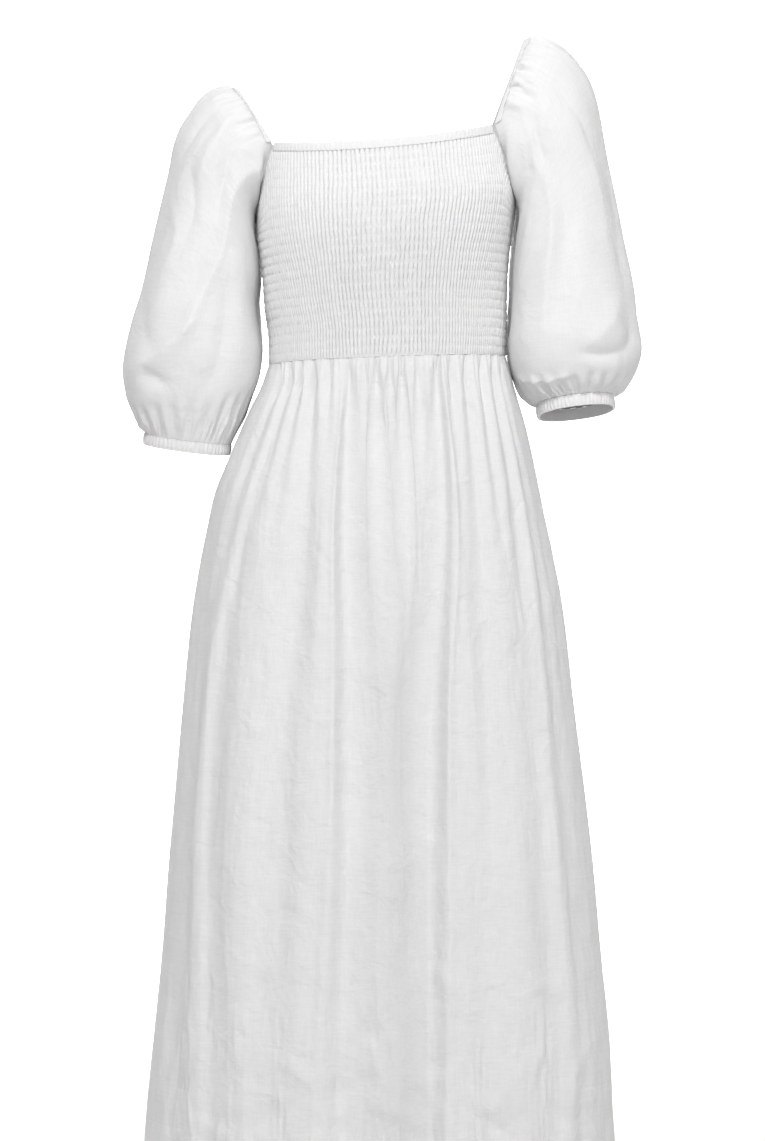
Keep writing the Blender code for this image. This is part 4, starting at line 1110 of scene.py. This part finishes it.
def shoulder_casing(side):
    """A strip over the sleeve's first rows, lifted off them, puffed and ribbed."""
    around = np.linspace(0.25, 0.75, 8 * SHOULDER_RIBS + 1)
    share = np.linspace(0.0, 1.0, 13)
    whole = np.arange(SLEEVE_COLUMNS) / SLEEVE_COLUMNS
    base = sleeve_form(side, 0.5 * share, whole)
    lift = sleeve_out(base)
    places = around * SLEEVE_COLUMNS
    base = np.moveaxis(spline(places, np.arange(SLEEVE_COLUMNS), np.moveaxis(base, 1, 0)), 0, 1)
    lift = np.moveaxis(spline(places, np.arange(SLEEVE_COLUMNS), np.moveaxis(lift, 1, 0)), 0, 1)
    rib = 2.0 * SHOULDER_RIBS * (around[None, :] - 0.25)
    puff = casing_profile(share)[:, None]
    phase = rib + 0.25 * uneven(0.7 * rib, 2.0 * share[:, None], 51)
    ribs = np.abs(np.sin(np.pi * phase)) ** 0.8 - 1.0
    outer = base + lift * (0.0010 + (CASING_PUFF + CASING_RIB * ribs) * puff)[..., None]
    inner = (base + lift * 0.0004)[::6, ::4]
    name = f"shoulder_casing_cloth_{side}"
    return build_shell(name, outer, inner, (0.34, 0.028), False, CASING_LINEN, 80.0)


shoulders = {side: shoulder_casing(side) for side in ("left", "right")}

# %% The cuffs
CUFF_HEIGHT = 0.0130
CUFF_RIBS = 60
CUFF_ROWS = (0.14, 0.86)
CUFF_PUFF = 0.0012
CUFF_RIB = 0.0014
CUFF_PRESSED = 0.0005
CUFF_SINK = 0.0003


def cuff_axes(side):
    """Middle, downward axis and ring of the cuff, which hangs square to the sleeve's last ring."""
    around = np.arange(8 * CUFF_RIBS) / (8.0 * CUFF_RIBS)
    ring = sleeve_rings(side, around)[-1]
    shape = {name: column[-1] for name, column in SLEEVES[side].items()}
    across = np.array([shape["outer_x"] - shape["inner_x"], 0.0, shape["outer_z"] - shape["inner_z"]])
    back = np.array([0.0, 1.0, shape["pitch"]])
    axis = np.cross(across / np.linalg.norm(across), back / np.linalg.norm(back))
    return ring.mean(axis=0), axis if axis[2] < 0.0 else -axis, ring


def cuff(side):
    """The cuff: rows run down it, and its ribs are pressed in along two stitched rows."""
    middle, axis, ring = cuff_axes(side)
    out = ring - middle
    out = (out / np.linalg.norm(out, axis=-1, keepdims=True))[None]
    share = np.linspace(0.0, 1.0, 19)[:, None]
    drop = (GAP + share * (CUFF_HEIGHT - GAP))[..., None]
    rib = np.arange(8 * CUFF_RIBS)[None, :] / 8.0
    phase = rib + 0.2 * uneven(0.8 * rib, 2.0 * share, 61)
    ribs = np.abs(np.sin(np.pi * phase)) ** 0.7 - 1.0
    pressed = sum(np.exp(-((share - row) / 0.05) ** 2) for row in CUFF_ROWS)
    puff = casing_profile(0.03 + 0.94 * share)
    swell = (CUFF_PUFF + CUFF_RIB * ribs) * puff - CUFF_PRESSED * pressed - CUFF_SINK
    outer = ring + axis * drop + out * swell[..., None]
    inner = (ring + axis * drop - out * (0.0022 + 0.0004 * puff[..., None]))[::6, ::4]
    return build_shell(f"cuff_cloth_{side}", outer, inner, (0.30, 0.034), True, CASING_LINEN, 80.0)


cuffs = {side: cuff(side) for side in ("left", "right")}

# %% [markdown]
# ## Stitches
# Machine stitches show as a row of small raised lines of thread, each dipping into the cloth at its
# two ends. One holds the turned-up hem, one closes the neck casing, and two run round each cuff.
# Each stitch is a small bead of thread with 26 faces, laid along a line of its cloth's outer grid.

# %% Stitches along a line of the cloth
STITCH = 0.0028
STITCH_SPACE = 0.0034
THREAD_RADIUS = 0.00028
NECK_STITCH_ROW = 0.80


def stitch_line(shell, share):
    """Line at a share of the way down a shell's grid, and the normals there."""
    grid, closed = SHELLS[shell]
    at = share * (len(grid) - 1)
    low = min(int(at), len(grid) - 2)
    line = grid[low] + (grid[low + 1] - grid[low]) * (at - low)
    out = normals(grid, closed)
    out = out[low] + (out[low + 1] - out[low]) * (at - low)
    middle = line.mean(axis=0)
    if (out * (line - middle)).sum(axis=-1).mean() < 0.0:
        out = -out
    return (np.vstack([line, line[:1]]), np.vstack([out, out[:1]])) if closed else (line, out)


def stitches(name, shell, share):
    """Beads of thread along the line: each a circle that shrinks to its ends by a half ellipse."""
    line, out = stitch_line(shell, share)
    length = np.append(0.0, np.cumsum(np.linalg.norm(np.diff(line, axis=0), axis=1)))
    middle = np.arange(0.5 * STITCH_SPACE, length[-1] - 0.5 * STITCH, STITCH_SPACE)
    places = middle[:, None] + STITCH * np.linspace(-0.5, 0.5, 5)
    centre = np.stack([np.interp(places, length, line[:, k]) for k in range(3)], axis=-1)
    lift = np.stack([np.interp(places, length, out[:, k]) for k in range(3)], axis=-1)
    lift /= np.linalg.norm(lift, axis=-1, keepdims=True)
    ahead = centre[:, -1:] - centre[:, :1]
    aside = np.cross(np.broadcast_to(ahead, lift.shape), lift)
    aside /= np.linalg.norm(aside, axis=-1, keepdims=True)
    profile = np.sqrt(1.0 - np.linspace(-0.94, 0.94, 5) ** 2)[None, :, None, None]
    turn = np.arange(6) * np.pi / 3.0
    spoke = lift[:, :, None] * np.cos(turn)[:, None] + aside[:, :, None] * np.sin(turn)[:, None]
    points = centre[:, :, None] + lift[:, :, None] * 0.0001 * profile + THREAD_RADIUS * profile * spoke
    number = np.arange(points[..., 0].size).reshape(points.shape[:3])
    after = np.roll(number, -1, axis=2)
    sides = np.stack([number[:, :-1], number[:, 1:], after[:, 1:], after[:, :-1]], axis=-1)
    mesh = bpy.data.meshes.new(name)
    ends = number[:, 0, ::-1].tolist() + number[:, -1].tolist()
    mesh.from_pydata(points.reshape(-1, 3).tolist(), [], sides.reshape(-1, 4).tolist() + ends)
    face_outwards(mesh)
    mesh.shade_smooth()
    mesh.materials.append(THREAD_COTTON)
    made = bpy.data.objects.new(name, mesh)
    bpy.context.scene.collection.objects.link(made)
    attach(made, "root")
    print(f"{name}: {len(middle)} stitches")
    return made


stitched_row = int(np.argmin(np.abs(skirt_levels() - HEM - HEM_TURN_UP)))
for facing in ("front", "back"):
    stitches(f"hem_stitches_{facing}", f"gathered_skirt_{facing}", stitched_row / (SKIRT_ROWS - 1.0))
    stitches(f"neck_stitches_{facing}", f"neck_casing_cloth_{facing}", NECK_STITCH_ROW)
for side in ("left", "right"):
    for place, row in zip(("upper", "lower"), CUFF_ROWS):
        stitches(f"cuff_stitches_{place}_{side}", f"cuff_cloth_{side}", row)

# %% [markdown]
# ## Light and floor
# The picture is bright and soft: a white room, one soft light high in front, a little to the left,
# and weaker light from the right. The floor is pale and sweeps up far behind into a plain wall, so
# no edge shows behind the dress, and a light of its own makes the wall white.

# %% The floor and the wall
FLOOR = -1.42
CORNER_RADIUS = 1.2
WALL_PLACE = 5.0


def sweep(name, y, z, half, material):
    """A sheet that is straight across and follows a curve in depth and height."""
    grid = np.stack(np.broadcast_arrays(np.array([-half, half])[None, :], y[:, None], z[:, None]), axis=-1)
    rows = np.arange(2 * len(y)).reshape(-1, 2)
    faces = np.stack([rows[:-1, 0], rows[:-1, 1], rows[1:, 1], rows[1:, 0]], axis=1)
    mesh = bpy.data.meshes.new(name)
    mesh.from_pydata(grid.reshape(-1, 3).tolist(), [], faces.tolist())
    mesh.shade_smooth()
    mesh.materials.append(material)
    made = bpy.data.objects.new(name, mesh)
    bpy.context.scene.collection.objects.link(made)
    return made


paper = bpy.data.materials.new("pale_backdrop_paper")
paper.use_nodes = True
matt = paper.node_tree.nodes["Principled BSDF"]
matt.inputs["Base Color"].default_value = colour("E4E4E4")
matt.inputs["Roughness"].default_value = 0.95
quarter = np.linspace(0.0, 0.5 * np.pi, 25)
sweep_y = np.concatenate([[-6.0, -1.0], WALL_PLACE - CORNER_RADIUS * (1.0 - np.sin(quarter))])
sweep_z = np.concatenate([[FLOOR, FLOOR], FLOOR + CORNER_RADIUS * (1.0 - np.cos(quarter))])
sweep("paper_floor", sweep_y, sweep_z, 5.0, paper)
sweep("paper_wall", np.array([WALL_PLACE, WALL_PLACE]), np.array([FLOOR + CORNER_RADIUS, 3.4]), 5.0, paper)

world = bpy.data.worlds.new("white_room")
bpy.context.scene.world = world
world.use_nodes = True
room = world.node_tree.nodes["Background"]
room.inputs["Color"].default_value = colour("FFFEFD")
room.inputs["Strength"].default_value = 0.50
bpy.context.scene.view_settings.view_transform = "Standard"
print("floor at", FLOOR)


# %% The studio lights
def soft_light(name, place, aim, size, watts, spread=180.0):
    """A square area light at a place, turned to an aim, with its beam kept to a spread."""
    light = bpy.data.lights.new(name, "AREA")
    light.size = size
    light.energy = watts
    light.spread = np.radians(spread)
    lamp = bpy.data.objects.new(name, light)
    lamp.location = place
    bpy.context.scene.collection.objects.link(lamp)
    lamp.rotation_euler = Vector(np.subtract(aim, place)).to_track_quat("-Z", "Y").to_euler()
    return lamp


soft_light("key", (-0.30, -2.30, 1.75), (0.0, 0.0, -0.30), 0.7, 52.0)
soft_light("fill", (1.9, -2.8, 0.7), (0.0, 0.0, -0.3), 1.2, 18.0)
soft_light("wall_glow", (0.0, 3.0, 3.1), (0.0, 5.0, -0.5), 1.8, 300.0, 100.0)

# %% [markdown]
# ## Fitting to the frame
# Every cloth rides on the one body of the imported model and stands for one cut piece, whose plain
# wall it hides.

# %% Fit every piece to its node
def fit(piece, node):
    """Let a piece ride on the body and replace its node."""
    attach(piece, "root")
    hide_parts(node)


for facing in ("front", "back"):
    fit(bodice[facing], f"bodice_{facing}")
    fit(necks[facing], f"neck_casing_{facing}")
    fit(skirt[facing], f"skirt_{facing}")
for side in ("left", "right"):
    fit(sleeves[side], f"sleeve_{side}")
    fit(shoulders[side], f"shoulder_casing_{side}")
    fit(cuffs[side], f"cuff_{side}")
